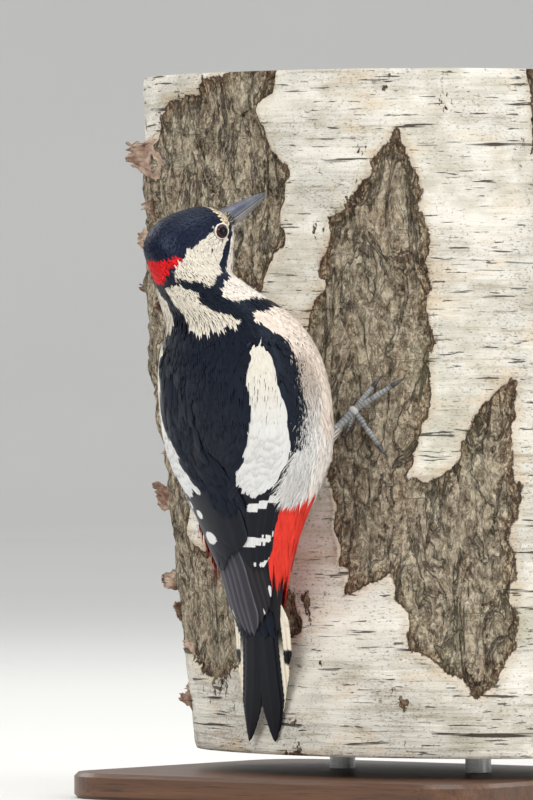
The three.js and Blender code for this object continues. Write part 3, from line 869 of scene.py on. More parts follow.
def build_body_coat():
    """Contour feathers of neck, back, breast and belly: broad and smooth where black, long and frayed where
    pale."""
    colours = palette()
    material = coat_finish("coat_body")
    spacing = settings()[0].body_spacing / MM
    rng = np.random.default_rng(21)
    p, q = spread_roots(body_surface, 7.15, 9.7, spacing * 0.62, 22)
    size = np.interp(p, [7.15, 8.4, 9.7], [5.8, 7.6, 9.5]) * rng.uniform(0.8, 1.2, len(p))
    lean = rng.normal(0, 0.1, len(p))
    feathers = vanes(
        body_surface, p, q, size, size * 0.13, rows=5, cols=5, depth=np.interp(p, [7, 9.7], [0.5, 0.75]),
        rise=0.14, ruffle=0.06, lean=lean, seed=23, thick=0.06, camber=0.06, tilt=0.04,
    )
    tint = vane_colours(feathers, colours[tinted(p, q, size, lean)], 24, base=0.88, vary=0.05)
    put_vanes("coat_neck", [(feathers, tint)], material, "plumage_pale")

    p, q = spread_roots(body_surface, 9.2, 18.3, spacing, 31, keep=lambda t, a: ~under_wing(t, a))
    size = np.interp(p, [9.2, 11, 14, 18.5], [9.5, 11.5, 12.5, 13.0]) * rng.uniform(0.85, 1.15, len(p))
    lean = rng.normal(0, 0.07, len(p))
    spare = (p > 16.6) & (q < 118) & (q > 48)
    for f in (0.35, 0.7, 1.0):
        t, angle = down_feather(body_surface, p, q, size, lean, f)
        s, w = on_wing(t, angle)
        spare |= inside(PATCH, s, w - np.where(q < 0, 0.2, 0.03)) & (t > 9.62)
    p, q, size, lean = picked(~spare, p, q, size, lean)
    number = tinted(p, q, size, lean)
    dark, red = number == BACK_BLACK, number == VENT_RED
    size = np.where(red, size * 1.15, size)
    puff = np.where((q < -60) & (q > -116) & (np.abs(p - 15.6) < 0.6), 3.6, -0.8)
    for name, chosen, half, base, vary, look in (
        ("coat_back", dark, 1.9, 0.72, 0.2, {"fray": 0.16, "rise": 0.18, "ruffle": 0.05, "cols": 9}),
        ("coat_underparts", ~dark & ~red, 1.3, 0.9, 0.05, {"rise": 0.12, "ruffle": 0.04, "cols": 7}),
        ("coat_vent", red, 1.3, 0.9, 0.05, {"fray": 0.35, "rise": puff[red], "ruffle": 0.35, "cols": 7}),
    ):
        feathers = vanes(
            body_surface, p[chosen], q[chosen], size[chosen], half, rows=6, depth=0.85, lean=lean[chosen],
            seed=32, thick=0.08, camber=0.07, tilt=0.04, **look
        )
        tint = vane_colours(feathers, colours[number[chosen]], 33, base=base, vary=vary)
        slot = "plumage_dark" if name == "coat_back" else "plumage_pale"
        put_vanes(name, [(feathers, tint)], material, slot)


def build_fringes():
    """Loose hair-like feathers: flank plumes that lie over the edge of each wing."""
    rng = np.random.default_rng(41)
    count = 2900
    groups = []
    for side in (RIGHT, LEFT):
        p = 9.9 + 4.5 * rng.uniform(0, 1, count) ** 0.8
        edge = np.interp(p, [9.9, 11, 12.2, 13.4, 14.4], [88, 87, 78, 74, 72])
        q = side * (edge + rng.normal(3, 6, count))
        size = np.interp(p, [9.9, 11.5, 13, 14.4], [5, 7, 10, 9]) * rng.uniform(0.7, 1.25, count)
        lean = -side * rng.normal(0.42, 0.2, count)
        feathers = vanes(
            body_surface, p, q, size, rng.uniform(0.12, 0.40, count), cols=3, fray=0.35, depth=0.2,
            rise=rng.uniform(0.4, 1.4, count), lean=lean, bend=rng.normal(0, 0.08, count), seed=42,
            thick=0.05,
        )
        white = np.array(linear(255, 253, 250))
        shade = mix(palette()[BREAST_BUFF], white, smooth_step(10.4, 12.4, p)[:, None])
        groups.append((feathers, vane_colours(feathers, shade, 43, base=1.0, vary=0.04)))
    put_vanes("coat_flank_plumes", groups, coat_finish("coat_flank"), "plumage_pale")


# ---- wings

# Millimetres along the wing at shares of its length.
RUN = np.array([[0, 0.045, 0.25, 0.5, 0.75, 1.0], [0, 2.0, 14.7, 51.3, 88.0, 130.5]])
QUILL_THICK, QUILL_GLOSS = 0.22, (0.8, 0.86, 1.0)
# Distance in millimetres from the nearest white spot that stands for none.
NO_SPOT = 9.0


def plumes(sheet, table, *, rows=64, cols=9, tip=0.55, seed=0):
    """Long feathers on a wing's sheet, one for each line of table: s and w at root and tip, half-width, lift.
    The result is like that of vanes.

    The middle line runs straight in (s, w). The half-width is near full all the way and narrows over the last
    part to a rounded point. The rim has a slow wave, the vane is cambered and the shaft stands up."""
    s0, w0, s1, w1, half, lift = (np.asarray(c, float)[:, None, None] for c in np.array(table).T)
    rng = np.random.default_rng(seed)
    f, u = (x[None] for x in shares(rows, cols))
    end = np.clip((1 - f) / 0.16, 0, 1)
    width = np.minimum(0.62 + 1.6 * f, 1.0) * (1 - (1 - end) ** 2.2 * 0.94)
    width = width * (1 + 0.012 * np.sin(f * 90 + rng.uniform(0, 6, (len(table), 1, 1))))
    x = half * width * u
    s = mix(s0, s1, f - 0.035 * tip * np.abs(u) * (f**6))
    w = mix(w0, w1, f) + x / np.interp(s, *WING_WIDTH)
    height = lift - 2.2 * np.maximum(0, 1 - f / 0.3) ** 2 + 0.22 * (1 - u**2) * width
    height = height + 0.10 * np.exp(-((u / 0.12) ** 2)) * width
    top = sheet(s, w, height)
    normal = unit(np.cross(np.gradient(top, axis=1), np.gradient(top, axis=2)))
    normal = normal * np.sign(np.sum(normal * (sheet(s, w, height + 1.0) - top), -1, keepdims=True))
    place = both_sides(np.stack([s, w], -1))
    return {
        "points": sheet(place[..., 0], place[..., 1], both_sides(height, height - QUILL_THICK)),
        "normals": both_sides(normal, -normal),
        "own": both_sides(np.stack([x, np.interp(s, *RUN)], -1)),
        "share": both_sides(f + 0 * s),
        "rim": both_sides(np.abs(u) + 0 * s),
        "place": place,
        "faces": vane_faces(rows, cols, len(table)),
    }


def quill_tint(quills, tint):
    """A flight feather's colour: paler towards its rim, partly from wear and partly painted sheen, and paler
    along its shaft as a painted highlight.
    """
    # Painted sheen: the rim's lightening is partly wear and partly a painted highlight, and the shaft's
    # lightening is a painted highlight.
    wear_and_sheen = 3.2 * smooth_step(0.78, 1.0, quills["rim"]) + 1.6 * smooth_step(0.1, 0.0, quills["rim"])
    return tint * (0.9 + (0.4 + 0.6 * quills["share"]) * wear_and_sheen)[..., None]


def put_plumes(name, groups, material, slot):
    """One object from groups of (feathers, colours, spots). Each long feather has its own cell of the bake
    map."""
    side = int(np.ceil(np.sqrt(sum(len(g["points"]) for g, _, _ in groups))))
    owns, bakes, cell = [], [], 0
    for g, _, _ in groups:
        own = g["own"]
        index = cell + np.arange(len(own))[:, None, None]
        corner = np.concatenate([index % side, index // side], -1)
        low, high = own.min(1, keepdims=True), own.max(1, keepdims=True)
        bakes.append((corner + (0.04 + 0.92 * (own - low) / (high - low))) / side)
        owns.append(own + 17.0 * index)
        cell += len(own)
    spots = np.concatenate([spot.ravel() for _, _, spot in groups])
    return put_feathers(name, [g[:2] for g in groups], material, slot, owns, bakes, {"spot": spots})


# White scapular patch in shares of the wing's length and width.
PATCH = np.array([
    (-0.03, 0.16), (0.02, 0.13), (0.13, 0.185), (0.27, 0.133), (0.35, 0.125), (0.41, 0.12), (0.485, 0.067),
    (0.58, 0.06), (0.606, 0.13), (0.642, 0.40), (0.632, 0.57), (0.56, 0.63), (0.44, 0.575), (0.387, 0.58),
    (0.35, 0.51), (0.30, 0.54), (0.195, 0.50), (0.083, 0.38), (0.02, 0.24),
])


def on_wing(t, angle):
    """Shares of length and width on the folded wing over a place of the body."""
    inner, outer = wing_edges(t)
    return np.interp(t, WING_LINES[0], np.linspace(0, 1, 12)), (np.abs(angle) - inner) / (outer - inner)


# Tips of the primaries as shares of the wing's length and width, and the shares where their spots lie.
PRIMARIES = {
    RIGHT: [(0.905, 0.80), (0.925, 0.66), (0.945, 0.50), (0.958, 0.36), (0.966, 0.24)],
    LEFT: [(0.93, 0.92), (0.955, 0.72), (0.972, 0.52), (0.982, 0.36), (0.985, 0.22)],
}
PRIMARY_BARS = (0.80, 0.866, 0.925)
# Outer edges of the secondaries at 62% and at 81% of the wing's length, and the share where each ends.
SECONDARY_EDGES = np.array([
    [0.58, 0.72, 0.835], [0.75, 0.84, 0.835], [0.84, 0.93, 0.830], [0.885, 0.97, 0.822], [0.925, 1.00, 0.812],
    [0.965, 1.02, 0.800], [1.00, 1.04, 0.785],
])
# Outer edges of the tertials at root and tip, and the share of the wing's length where each ends.
TERTIALS = {
    RIGHT: [(0.35, 0.42, 0.80), (0.26, 0.33, 0.77), (0.14, 0.22, 0.73)],
    LEFT: [(0.60, 0.90, 0.825), (0.44, 0.62, 0.815), (0.26, 0.36, 0.79)],
}
# Places of the white bars on each secondary along the wing, from the innermost, their half-lengths in
# millimetres, and how far each reaches inwards from the feather's outer rim.
BARS = [
    (
        [0.641, 0.630, 0.612, 0.597, 0.582, 0.567, 0.553], [2.0, 1.9, 1.7, 1.5, 1.4, 1.3, 1.3],
        [4.6, 6, 6, 5, 5, 5, 5],
    ),
    (
        [0.750, 0.747, 0.735, 0.720, 0.705, 0.690, 0.674], [2.5, 1.8, 1.6, 1.4, 1.3, 1.2, 1.2],
        [7.4, 6, 6, 5, 5, 5, 5],
    ),
    (
        [0.812, 0.813, 0.809, 0.800, 0.790, 0.780, 0.768], [1.1, 1.3, 1.5, 1.6, 1.4, 1.2, 1.2],
        [3.0, 3, 4, 5, 5, 5, 5],
    ),
]
# White spots of the left wing, as shares of its length and width, with half-lengths along and across.
LEFT_SPOTS = [
    (0.632, 0.66, 1.9, 1.3), (0.664, 0.52, 2.0, 1.7), (0.738, 0.52, 2.6, 3.2), (0.858, 0.52, 2.2, 1.0)
]


def left_spots(quills):
    """Distance in millimetres to the nearest white spot of the left wing at each point of some feathers."""
    s, w = quills["place"][..., 0], quills["place"][..., 1]
    wide = np.interp(s, *WING_WIDTH)
    spots = [np.hypot((s - a) * WING_LENGTH / c, (w - b) * wide / d) for a, b, c, d in LEFT_SPOTS]
    return 1.5 * (np.min(spots, axis=0) - 1)


def box_distance(x, y, half_x, half_y):
    """Distance to the rim of a box with soft corners, below 0 inside."""
    dx, dy = np.abs(x) - half_x, np.abs(y) - half_y
    outside = np.hypot(np.maximum(dx, 0), np.maximum(dy, 0))
    return outside + np.minimum(np.maximum(dx, dy), 0)


def inward(s, edge, half):
    """Share of the wing's width at a feather's middle line, from that at its outer edge."""
    return edge - half / np.interp(s, *WING_WIDTH)


def build_wing(side):
    """A folded wing: primaries under secondaries under tertials, then coverts and the white scapulars."""
    p = settings()[0]
    sheet = wing_surface(side)
    right = side == RIGHT
    name = "right" if right else "left"
    black, brown, white = (np.array(tuple(c)) for c in (p.back_black, p.quill_brown, p.patch_white))
    sooty = np.array(linear(10, 10, 16))
    over = 0.0 if right else 0.9
    quills, groups = [], []

    def add(table, tint, boxes=(), spotted=False, **look):
        """Adds long feathers. Each box of white is a feather's number, the place across and along it,
        half-sizes and softness."""
        row = plumes(sheet, [(*line[:5], line[5] + over) for line in table], **look)
        spot = np.full(row["own"].shape[:2], NO_SPOT)
        for k, across, along, half_x, half_y, soft in boxes:
            x, y = row["own"][k].T
            spot[k] = np.minimum(spot[k], box_distance(x - across, y - along, half_x, half_y) - soft)
        if spotted and not right:
            spot = np.minimum(spot, left_spots(row))
        quills.append((row, quill_tint(row, tint), spot))

    def lifted(by):
        """The wing's sheet raised by some millimetres, less at its inner edge, and more where the left wing
        lies over the right one."""

        def raised(s, w, out=0.0):
            out = np.asarray(out) + by * (1 - 0.5 * smooth_step(0.1, -0.2, w))
            return sheet(s, w, out + over * smooth_step(0.3, 0.55, s))

        return raised

    def add_vanes(by, s, w, size, half, colours, seed, shades, **look):
        """Adds small feathers on the raised sheet."""
        feathers = vanes(lifted(by), s, w, size, half, steps=(0.004, 0.02), seed=seed, **look)
        groups.append((feathers, vane_colours(feathers, colours + np.zeros((len(s), 1)), **shades)))
        return feathers

    table = [
        (0.45, 0.72 - 0.05 * k, s, w - 0.10, 3.6, -0.9 - 0.12 * k) for k, (s, w) in enumerate(PRIMARIES[side])
    ]
    boxes = [(k, 2.2, np.interp(s - 0.01 * k, *RUN), 0.9, 1.6, 0.3) for k in range(5) for s in PRIMARY_BARS]
    # The left primaries get a paler grey than the right ones' brown: painted sheen on the same feathers.
    add(table, brown if right else np.array(linear(58, 56, 62)), boxes, tip=1.0, seed=51)

    # Secondaries, the outermost lowest.
    table, boxes, half = [], [], 4.3
    for k, (near, far, end) in enumerate(SECONDARY_EDGES[::-1]):
        slope = (far - near) / 0.19
        root, tip = near + slope * (0.40 - 0.62), near + slope * (end - 0.62)
        table.append((0.40, inward(0.40, root, half), end, inward(end, tip, half), half, -0.55 + 0.13 * k))
        for bars in BARS if right else ():
            at, long, reach = (row[len(SECONDARY_EDGES) - 1 - k] for row in bars)
            boxes.append((k, 3.95 - reach / 2, np.interp(at, *RUN), reach / 2 - 0.5, long - 0.5, 0.5))
    add(table, sooty, boxes, spotted=True, tip=0.5, seed=52)

    # Tertials, the innermost on top.
    half = 5.0 if right else 5.6
    table = [
        (0.36, inward(0.36, near - 0.08, half), end, inward(end, far, half), half, 0.45 + 0.22 * k)
        for k, (near, far, end) in enumerate(TERTIALS[side])
    ]
    boxes = [(1, 3.4, np.interp(0.612, *RUN), 0.9, 1.1, 0.4)] if right else []
    add(table, sooty * 1.3, boxes, spotted=True, tip=0.9, seed=53)

    # Greater coverts, whose bases lie under the lesser ones.
    table = []
    for k in range(7):
        w = 1.02 - 0.062 * k
        table.append((0.30, w - 0.15, 0.535 + 0.008 * k, w - 0.10, 2.9, 0.15 + 0.06 * k))
    add(table, sooty, rows=36, cols=7, tip=0.6, seed=54)
    material = coat_finish(f"wing_{name}", (1.6, 0.06), 0.0001, True, QUILL_GLOSS)
    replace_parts(put_plumes(f"wing_{name}", quills, material, "plumage_dark"), f"wing_{name}")

    # Lesser coverts.
    rng = np.random.default_rng(55)
    s, w = spread_roots(sheet, 0.03, 0.42, 2.2, 56, span=(0.14, 1.06))
    size = rng.uniform(7.5, 10, len(s))
    chosen = w > np.interp(s + size / WING_LENGTH, [0, 0.09, 0.25, 0.36, 0.5], [0.24, 0.42, 0.53, 0.58, 0.64])
    s, w, size = picked(chosen, s, w, size)
    dark = {"base": 0.6, "vary": 0.08}
    look = {"rows": 6, "cols": 9, "fray": 0.1, "rise": 0.25, "ruffle": 0.05}
    add_vanes(1.1, s, w, size, 2.5, black, 57, {"seed": 58, **dark}, depth=0.8, camber=0.08, **look)

    # White scapulars whose tips all lie in the patch: small above, broad and rounded at its lower end.
    for spacing, low, high, halves, sizes, look in (
        (1.1, -0.13, 0.44, [0.6, 1.1, 1.8, 2.4], [8, 13], {"fray": 0.05, "rows": 6, "cols": 7, "rise": 0.1}),
        (2.6, 0.26, 0.52, [3.2, 3.4, 3.8, 4.4], [17, 19], {"fray": 0.04, "rows": 9, "cols": 13, "rise": 0.4}),
    ):
        broad = spacing > 2
        s, w = spread_roots(sheet, low, high, spacing, 59, span=(-0.05, 0.62))
        size = np.interp(s, [-0.1, 0.45], sizes)
        tip = s + size / WING_LENGTH
        half = np.interp(tip, [0, 0.08, 0.3, 0.55], halves)
        margin = 0.5 * half / np.interp(tip, *WING_WIDTH)
        chosen = inside(PATCH, tip, w + margin) & inside(PATCH, tip, w - 0.6 * margin)
        chosen &= tip > low + 0.2 * broad
        s, w, size, half = picked(chosen, s, w, size, half)
        s, w, size, half = picked(np.argsort(s)[::-1], s, w, size, half)
        cream = mix(np.array(linear(224, 218, 205)), white, smooth_step(0.1, 0.42, s)[:, None])
        shades = {"seed": 60, "base": 0.97, "vary": 0.01, "streak": 0.01}
        scapulars = add_vanes(
            1.5, s, w, size, half, cream, 59, shades, depth=0.15, ruffle=0.03, blunt=0.28, camber=0.04,
            lean=rng.normal(0, 0.03, len(s)), thick=0.1, tilt=0.03, **look,
        )
        if broad:
            off = np.abs(scapulars["own"][..., 0] / half[:, None])
            rim = smooth_step(0.86, 0.98, scapulars["share"] + 0.1 * off**2)
            groups[-1] = (scapulars, groups[-1][1] * (1 - 0.22 * rim)[..., None])

    # Black scapulars that cover the inner edge of the white patch and the tertials' bases.
    s, w = spread_roots(sheet, 0.03, 0.56, 2.3, 61, span=(-0.25, 0.15 if right else 0.30))
    size = np.interp(s, [0, 0.5], [9, 19]) * rng.uniform(0.85, 1.1, len(s))
    tip = s + size / WING_LENGTH
    rim = np.interp(tip, PATCH[:8, 0], PATCH[:8, 1]) + (0.02 if right else 0.16)
    chosen = (w < rim - 0.05) | ((tip > 0.66) & (w < 0.06))
    s, w, size = picked(chosen, s, w, size)
    add_vanes(
        2.0, s, w, size, np.interp(s, [0, 0.5], [2.3, 3.2]), black, 62, {"seed": 63, **dark}, rows=7, cols=11,
        fray=0.2, depth=0.8, rise=0.3, ruffle=0.06, camber=0.08, lean=rng.normal(0, 0.06, len(s)),
    )
    material = coat_finish(f"coverts_{name}", (2.0, 0.12), 0.0001)
    put_vanes(f"coverts_{name}", groups, material, "plumage_dark", 0.02)


# ---- tail

TAIL_ROOT_Z, TAIL_ROOT_Y, TAIL_STEP, TAIL_SHIFT, TAIL_CUP = 48.6, -14.6, 0.45, -2.2, 0.006
# Distance from the midline at root and tip, height of the tip and half-width of each pair, from the middle.
TAIL_PAIRS = [
    (2.0 + 1.8 * i, 6.2 + 0.85 * i, tip, 3.6 - 0.2 * i) for i, tip in enumerate((0.6, 4.0, 10.0, 18.0, 28.0))
]


def build_tail():
    """Ten stiff pointed feathers. Each blade narrows to a point, with a raised shaft. The outer pairs are
    pale with dark bars."""
    dark, pale = np.array(linear(9, 9, 13)), np.array(linear(240, 230, 210))
    rows, cols = 56, 11
    f, u = shares(rows, cols)
    flat = np.zeros((rows, cols))
    parts = []
    for k, (i, side) in enumerate((i, side) for i in (4, 3, 2, 1, 0) for side in (LEFT, RIGHT)):
        root_x, tip_x, tip_z, half = TAIL_PAIRS[i]
        tip_z = tip_z - 1.6
        z = mix(TAIL_ROOT_Z + 8, tip_z, f)
        along = np.clip((TAIL_ROOT_Z - z) / (TAIL_ROOT_Z - tip_z), 0, 1)
        middle = side * mix(root_x, tip_x, along**1.6) + TAIL_SHIFT * np.maximum(0, 1 - z / 40)
        blade = (half + 0.7) * np.minimum(1, 3.6 * (1.0 - along)) ** 0.62
        blade = blade * mix(1, smooth_step(0.02, 0.4, f), i > 2) + 0.12
        across = middle + blade * (1 + 0.04 * np.sin(f * 140 + k) * np.abs(u)) * u
        lift = TAIL_ROOT_Y * (np.maximum(z, 0.1) / TAIL_ROOT_Z) ** 1.15 + TAIL_STEP * i + TAIL_CUP * across**2
        shaft = 0.22 * np.exp(-((u / 0.09) ** 2)) * (1 - 0.6 * along)
        top = pose(across, lift - 1.25 - 0.28 * (1 - u**2) - shaft, z, 0.0)
        under = pose(across, lift - 1.0 + 0.1 * (1 - u**2), z, 0.0)
        # Painted sheen: the paler rim is partly wear and partly a painted highlight, the paler shaft is a
        # painted highlight, and the blade pales towards its tip.
        wear_and_sheen = 2.2 * smooth_step(0.7, 1.0, np.abs(u)) + 1.4 * smooth_step(0.15, 0.0, np.abs(u)) + 0.5 * along
        tint = dark * (0.9 + wear_and_sheen)[..., None]
        if i >= 3:
            bars = smooth_step(-0.1, 0.1, np.sin(z / 2.3 + side * u * 0.5) - 0.35)
            tint = mix(pale, dark * 1.2, (bars * smooth_step(0.1, 0.5, along))[..., None])
        elif i == 2:
            edge = smooth_step(0.35, 0.6, side * u) * smooth_step(0.2, 0.5, along)
            tint = mix(tint, pale, edge[..., None])
        own = np.stack([blade * u, z + flat], -1)
        cell = np.stack([0.06 + 0.88 * (u + 1) / 2 + flat, 0.04 + 0.92 * f + flat], -1)
        parts.append((top, under, tint, own, cell * [0.1, 1.0] + [k / 10, 0]))
    top, under, tint, own, bake = (np.array(part) for part in zip(*parts))
    faces = vane_faces(rows, cols, len(parts)).reshape(-1, 4)
    material = coat_finish("tail", (2.0, 0.05), 0.0001, gloss=QUILL_GLOSS)
    colours, bake, own = (np.vstack(both_sides(part)) for part in (tint, bake, own))
    tail = put_mesh(
        "tail", np.vstack(both_sides(top, under)), [faces], material, "plumage_dark", colours=colours,
        maps={"OFBake": bake, "Vane": own},
    )
    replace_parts(tail, "tail")


# ---- bill and eyes

BILL_FROM, BILL_TO, BILL_HALF, BILL_AXIS, BILL_DROOP = 16.6, 36.2, 3.8, 0.3, -0.9
BILL_UPPER, BILL_LOWER, BILL_FULL = 3.9, 3.5, 17.8
BILL_ROWS, BILL_AROUND = 72, 56
BILL_SHARES = np.linspace(0, 1, BILL_ROWS)
BILL_TURNS = ring_angles(BILL_AROUND)
EYE_ROWS, EYE_AROUND, EYE_SWELL = 40, 48, 1.07
LID_ROWS, LID_AROUND, LID_OUT, LID_LONG, LID_HIGH = 64, 12, 1.66, 3.02, 2.62


def mandible(up, height):
    """One half of the bill: a half-ring profile carried forward. Its height and width fall by the power 0.68
    of what is left of the length, and end in an upright chisel edge. A ridge stands on the midline and one
    on each side."""
    a = BILL_SHARES[:, None]
    turn = BILL_TURNS[None, :]
    forward = mix(BILL_FROM, BILL_TO, a)
    taper = np.clip((BILL_TO - forward) / (BILL_TO - BILL_FULL), 0, 1.08) ** 0.68
    side = np.cos(turn)
    above = np.maximum(0, np.sin(turn))
    off = np.abs(turn - np.pi / 2)
    ridge = 0.30 * np.exp(-((off / 0.16) ** 2))
    shelf = 0.16 * np.exp(-(((off - 0.95) / 0.13) ** 2))
    groove = -0.20 * np.exp(-(((off - 0.62) / 0.22) ** 2))
    relief = (ridge + (shelf + groove) * smooth_step(1.05, 0.55, a)) * taper
    half = BILL_HALF * taper + mix(0.35, 0.55, smooth_step(0.8, 1, a))
    half = half * np.sign(side) * np.abs(side) ** 0.92
    rise = (height * taper + 0.35 + relief) * above
    pinch = 1 - 0.05 * np.sin(np.pi * np.clip(above, 0, 1))
    wear = 0.03 * (noise(forward * 1.7, turn * 3, 5 + up) - 0.5)
    level = mix(BILL_AXIS, BILL_DROOP, a) + up * (rise + 0.13 + wear)
    return tube(head_point(forward + 0 * turn, level, half * pinch))


def nostril_tufts():
    """Bristly feathers that lie forward from the forehead and chin over the bill's root."""

    def root_of_bill(p, q, out=0.0):
        a = np.radians(q)
        rise = np.where(np.cos(a) > 0, 4.4, 4.0) + out
        return head_point(16.2 + p, 0.2 + rise * np.cos(a), (4.3 + out) * np.sin(a) * (1 - 0.02 * p))

    rng = np.random.default_rng(71)
    count = 760
    q = rng.uniform(-180, 180, count)
    p = rng.uniform(-1.6, 0.6, count)
    chin = np.abs(q) > 125
    size = rng.uniform(1.8, 3.8, count) * np.where(np.abs(q) < 25, 0.6, 1.0) + np.where(chin, 1.6, 0)
    feathers = vanes(
        root_of_bill, p, q, size, rng.uniform(0.08, 0.17, count), rows=5, cols=3, fray=0.3, depth=0.3,
        rise=np.where(chin, 1.1, 0.15), ruffle=0.15, lean=rng.normal(0, 0.16, count), steps=(0.05, 0.5),
        seed=72, thick=0.05,
    )
    buff, white = palette()[FACE_BUFF], palette()[CHEEK_WHITE]
    dark = rng.uniform(size=(count, 1)) < np.where(np.abs(q) > 62, 0.85, 0.4)[:, None]
    shade = np.where(chin[:, None], white, buff * np.where(dark, 0.06, 0.8))
    tint = vane_colours(feathers, shade, 73, vary=0.1)
    material = coat_finish("coat_bill_root", (3.2, 0.3), 0.00006)
    put_vanes("coat_bill_root", [(feathers, tint)], material, "plumage_pale")


def build_bill():
    """Both mandibles, slate horn with a paler cutting edge, and the bristles over their roots."""
    m = Finish("bill_horn")
    along = m.value("along")
    fibre = m.noise((4.0, 0.35, 1), on="Horn", detail=5, rough=0.65)
    cloud = m.noise(260, detail=4)
    lower = m.ramp(along, 0.0, 0.9, (132, 128, 124), (78, 78, 86))
    upper = m.ramp(along, 0.0, 0.9, (70, 76, 98), (46, 50, 66))
    tint = m.layers(m.blend(m.value("upper"), lower, upper), (cloud, 0.45, 0.72, 0.4, (140, 142, 148)))
    tint = m.shade(tint, fibre, 0.25, 0.75, 0.72, 1.25)
    m.surface(
        Base_Color=m.layers(tint, (m.value("edge"), 0.0, 1.0, 0.5, (150, 146, 140))), Coat_Weight=0.12,
        Roughness=m.span(cloud, 0.3, 0.7, 0.34, 0.5), Normal=m.bump(fibre, 0.35, 0.0001), Coat_Roughness=0.3,
    )
    a = np.append(np.repeat(BILL_SHARES, BILL_AROUND), [0, 1])
    turn = np.tile(BILL_TURNS, BILL_ROWS)
    lip = np.append(np.exp(-((np.sin(turn) / 0.12) ** 2)) * (np.abs(np.cos(turn)) > 0.5), [0, 0])
    horn = np.stack([np.append(np.abs(turn - np.pi / 2) * 3, [0, 0]), a * 20], -1)
    for name, up, height in (("bill_upper", 1, BILL_UPPER), ("bill_lower", -1, BILL_LOWER)):
        values = {"along": a, "edge": lip, "upper": 0 * a + (up > 0)}
        bill = put_mesh(
            name, *mandible(up, height), m.material, "bill_horn", maps={"Horn": horn}, values=values
        )
        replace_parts(bill, name)
    nostril_tufts()


def eye_finish():
    """A dark crimson-brown iris round a black pupil, by the distance from the eye's axis in millimetres."""
    m = Finish("eye")
    ring = m.value("ring")
    iris = m.ramp(ring, 1.3, 2.3, (40, 12, 20), (76, 28, 42))
    iris = m.shade(iris, m.noise((5.0, 1.2, 1), on="Iris", detail=4), 0.3, 0.7, 0.65, 1.25)
    tint = m.layers(iris, (ring, 2.25, 2.55, 1, (20, 10, 12)), (ring, 1.66, 1.54, 1, (3, 3, 5)))
    return m.surface(
        Base_Color=tint, Roughness=0.3, Coat_Weight=0.25, Coat_Roughness=0.03, Specular_IOR_Level=0.08
    )


def build_eyes():
    """Each eye is a sphere with the cornea's low dome over iris and pupil, and a puffed ring of lid round
    it."""
    lid = Finish("eye_lid")
    grain = lid.noise(2600)
    skin = lid.ramp(grain, 0.3, 0.5, (176, 168, 156), (238, 232, 220))
    lid.surface(Base_Color=skin, Roughness=0.55, Normal=lid.bump(grain, 0.5, 0.0001))
    finish = eye_finish()
    tilt = np.linspace(0.02, np.pi - 0.02, EYE_ROWS)[:, None]
    turn = ring_angles(EYE_AROUND)[None, :]
    off = EYE_RADIUS * np.sin(tilt)
    dome = np.where(tilt < np.pi / 2, 0.30 * np.exp(-((off / 1.7) ** 4)), 0)
    r = EYE_SWELL * EYE_RADIUS + dome - 0.05
    flat = np.where(tilt < np.pi / 2, off, 9.0) + 0 * turn
    ring = np.append(flat.ravel(), [0, 9])
    rays = np.vstack([np.stack([turn + 0 * tilt, flat], -1).reshape(-1, 2), [[0, 0], [0, 9]]])
    a, b = ring_angles(LID_ROWS), ring_angles(LID_AROUND)[None, :, None]
    thick = 0.26 + 0.02 * np.sin(a * 9) + 0.22 * np.exp(-(((a - 2.2) / 0.9) ** 2))
    lids = []
    for side, name in ((RIGHT, "eye_right"), (LEFT, "eye_left")):
        centre = head_point(EYE_FORWARD, EYE_UP, side * EYE_SIDE)
        axis = unit(head_point(EYE_FORWARD + 0.9, EYE_UP + 0.1, side * (EYE_SIDE + 5)) - centre)
        front = unit(head_point(EYE_FORWARD + 5, EYE_UP, side * EYE_SIDE) - centre)
        front = unit(front - axis * (front @ axis))
        up = np.cross(axis, front)
        way = (
            np.cos(tilt)[..., None] * axis
            + (np.sin(tilt) * np.cos(turn))[..., None] * front
            + (np.sin(tilt) * np.sin(turn))[..., None] * up
        )
        points, faces = tube(centre + r[..., None] * way)
        eye = put_mesh(name, points, faces, finish, "eye", maps={"Iris": rays}, values={"ring": ring})
        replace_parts(eye, name)
        path = centre + axis * LID_OUT + front * (LID_LONG * np.cos(a) + 0.12)[:, None]
        path = path + up * (LID_HIGH * np.sin(a))[:, None]
        outward = unit(path - centre - axis * LID_OUT)
        loop = path[:, None] + thick[:, None, None] * (outward[:, None] * np.cos(b) + axis * np.sin(b))
        quads = grid_quads(LID_ROWS + 1, LID_AROUND, closed=True) % (LID_ROWS * LID_AROUND)
        lids.append((loop.reshape(-1, 3), [quads[:, ::-1] if side == RIGHT else quads]))
    points, faces = join_shapes(lids)
    put_mesh("eye_lids", points, faces, lid.material, "leg_scale")


# ---- log

LOG_BOTTOM, LOG_TOP, LOG_WIDE, LOG_DEEP, LOG_SWELL = -6.0, 256.0, 95.0, 66.0, 1.6
LOG_X, LOG_LEAN_X, LOG_Y, LOG_LEAN_Y, LOG_RINGS = 20.6, -0.132, 64.7, 0.058, 16
# Outlines of the rough bark in degrees round the log and millimetres up it.
ROUGH = [
    [(-60, 217), (-34, 245), (-10, 255), (-21, 234), (-29, 211), (-47, 209)],
    [
        (-9, 262), (7, 262), (-2, 241), (4, 217), (2, 188), (-5, 170), (-30, 186), (-34, 160), (-30, 131),
        (-32, 96), (-46, 67), (-56, 32), (-75, 40), (-78, 200), (-60, 217), (-29, 211), (-21, 234),
    ],
    [
        (34, 238), (36, 220), (40, 199), (40, 174), (37, 131), (32, 96), (36, 110), (62, 140), (60, 103),
        (55, 32), (44, 18), (28, 36), (22, 67), (12, 55), (12, 82), (10, 110), (7, 158), (16, 192),
        (26, 217),
    ],
    [(-46, 80), (-30, 72), (-14, 52), (-16, 30), (-40, 22), (-56, 32)],
    [(-9, 60), (-3, 56), (0, 44), (-4, 36), (-9, 44)],
]
WHITE_ISLAND = [(30, 94), (44, 107), (58, 138), (39, 138)]


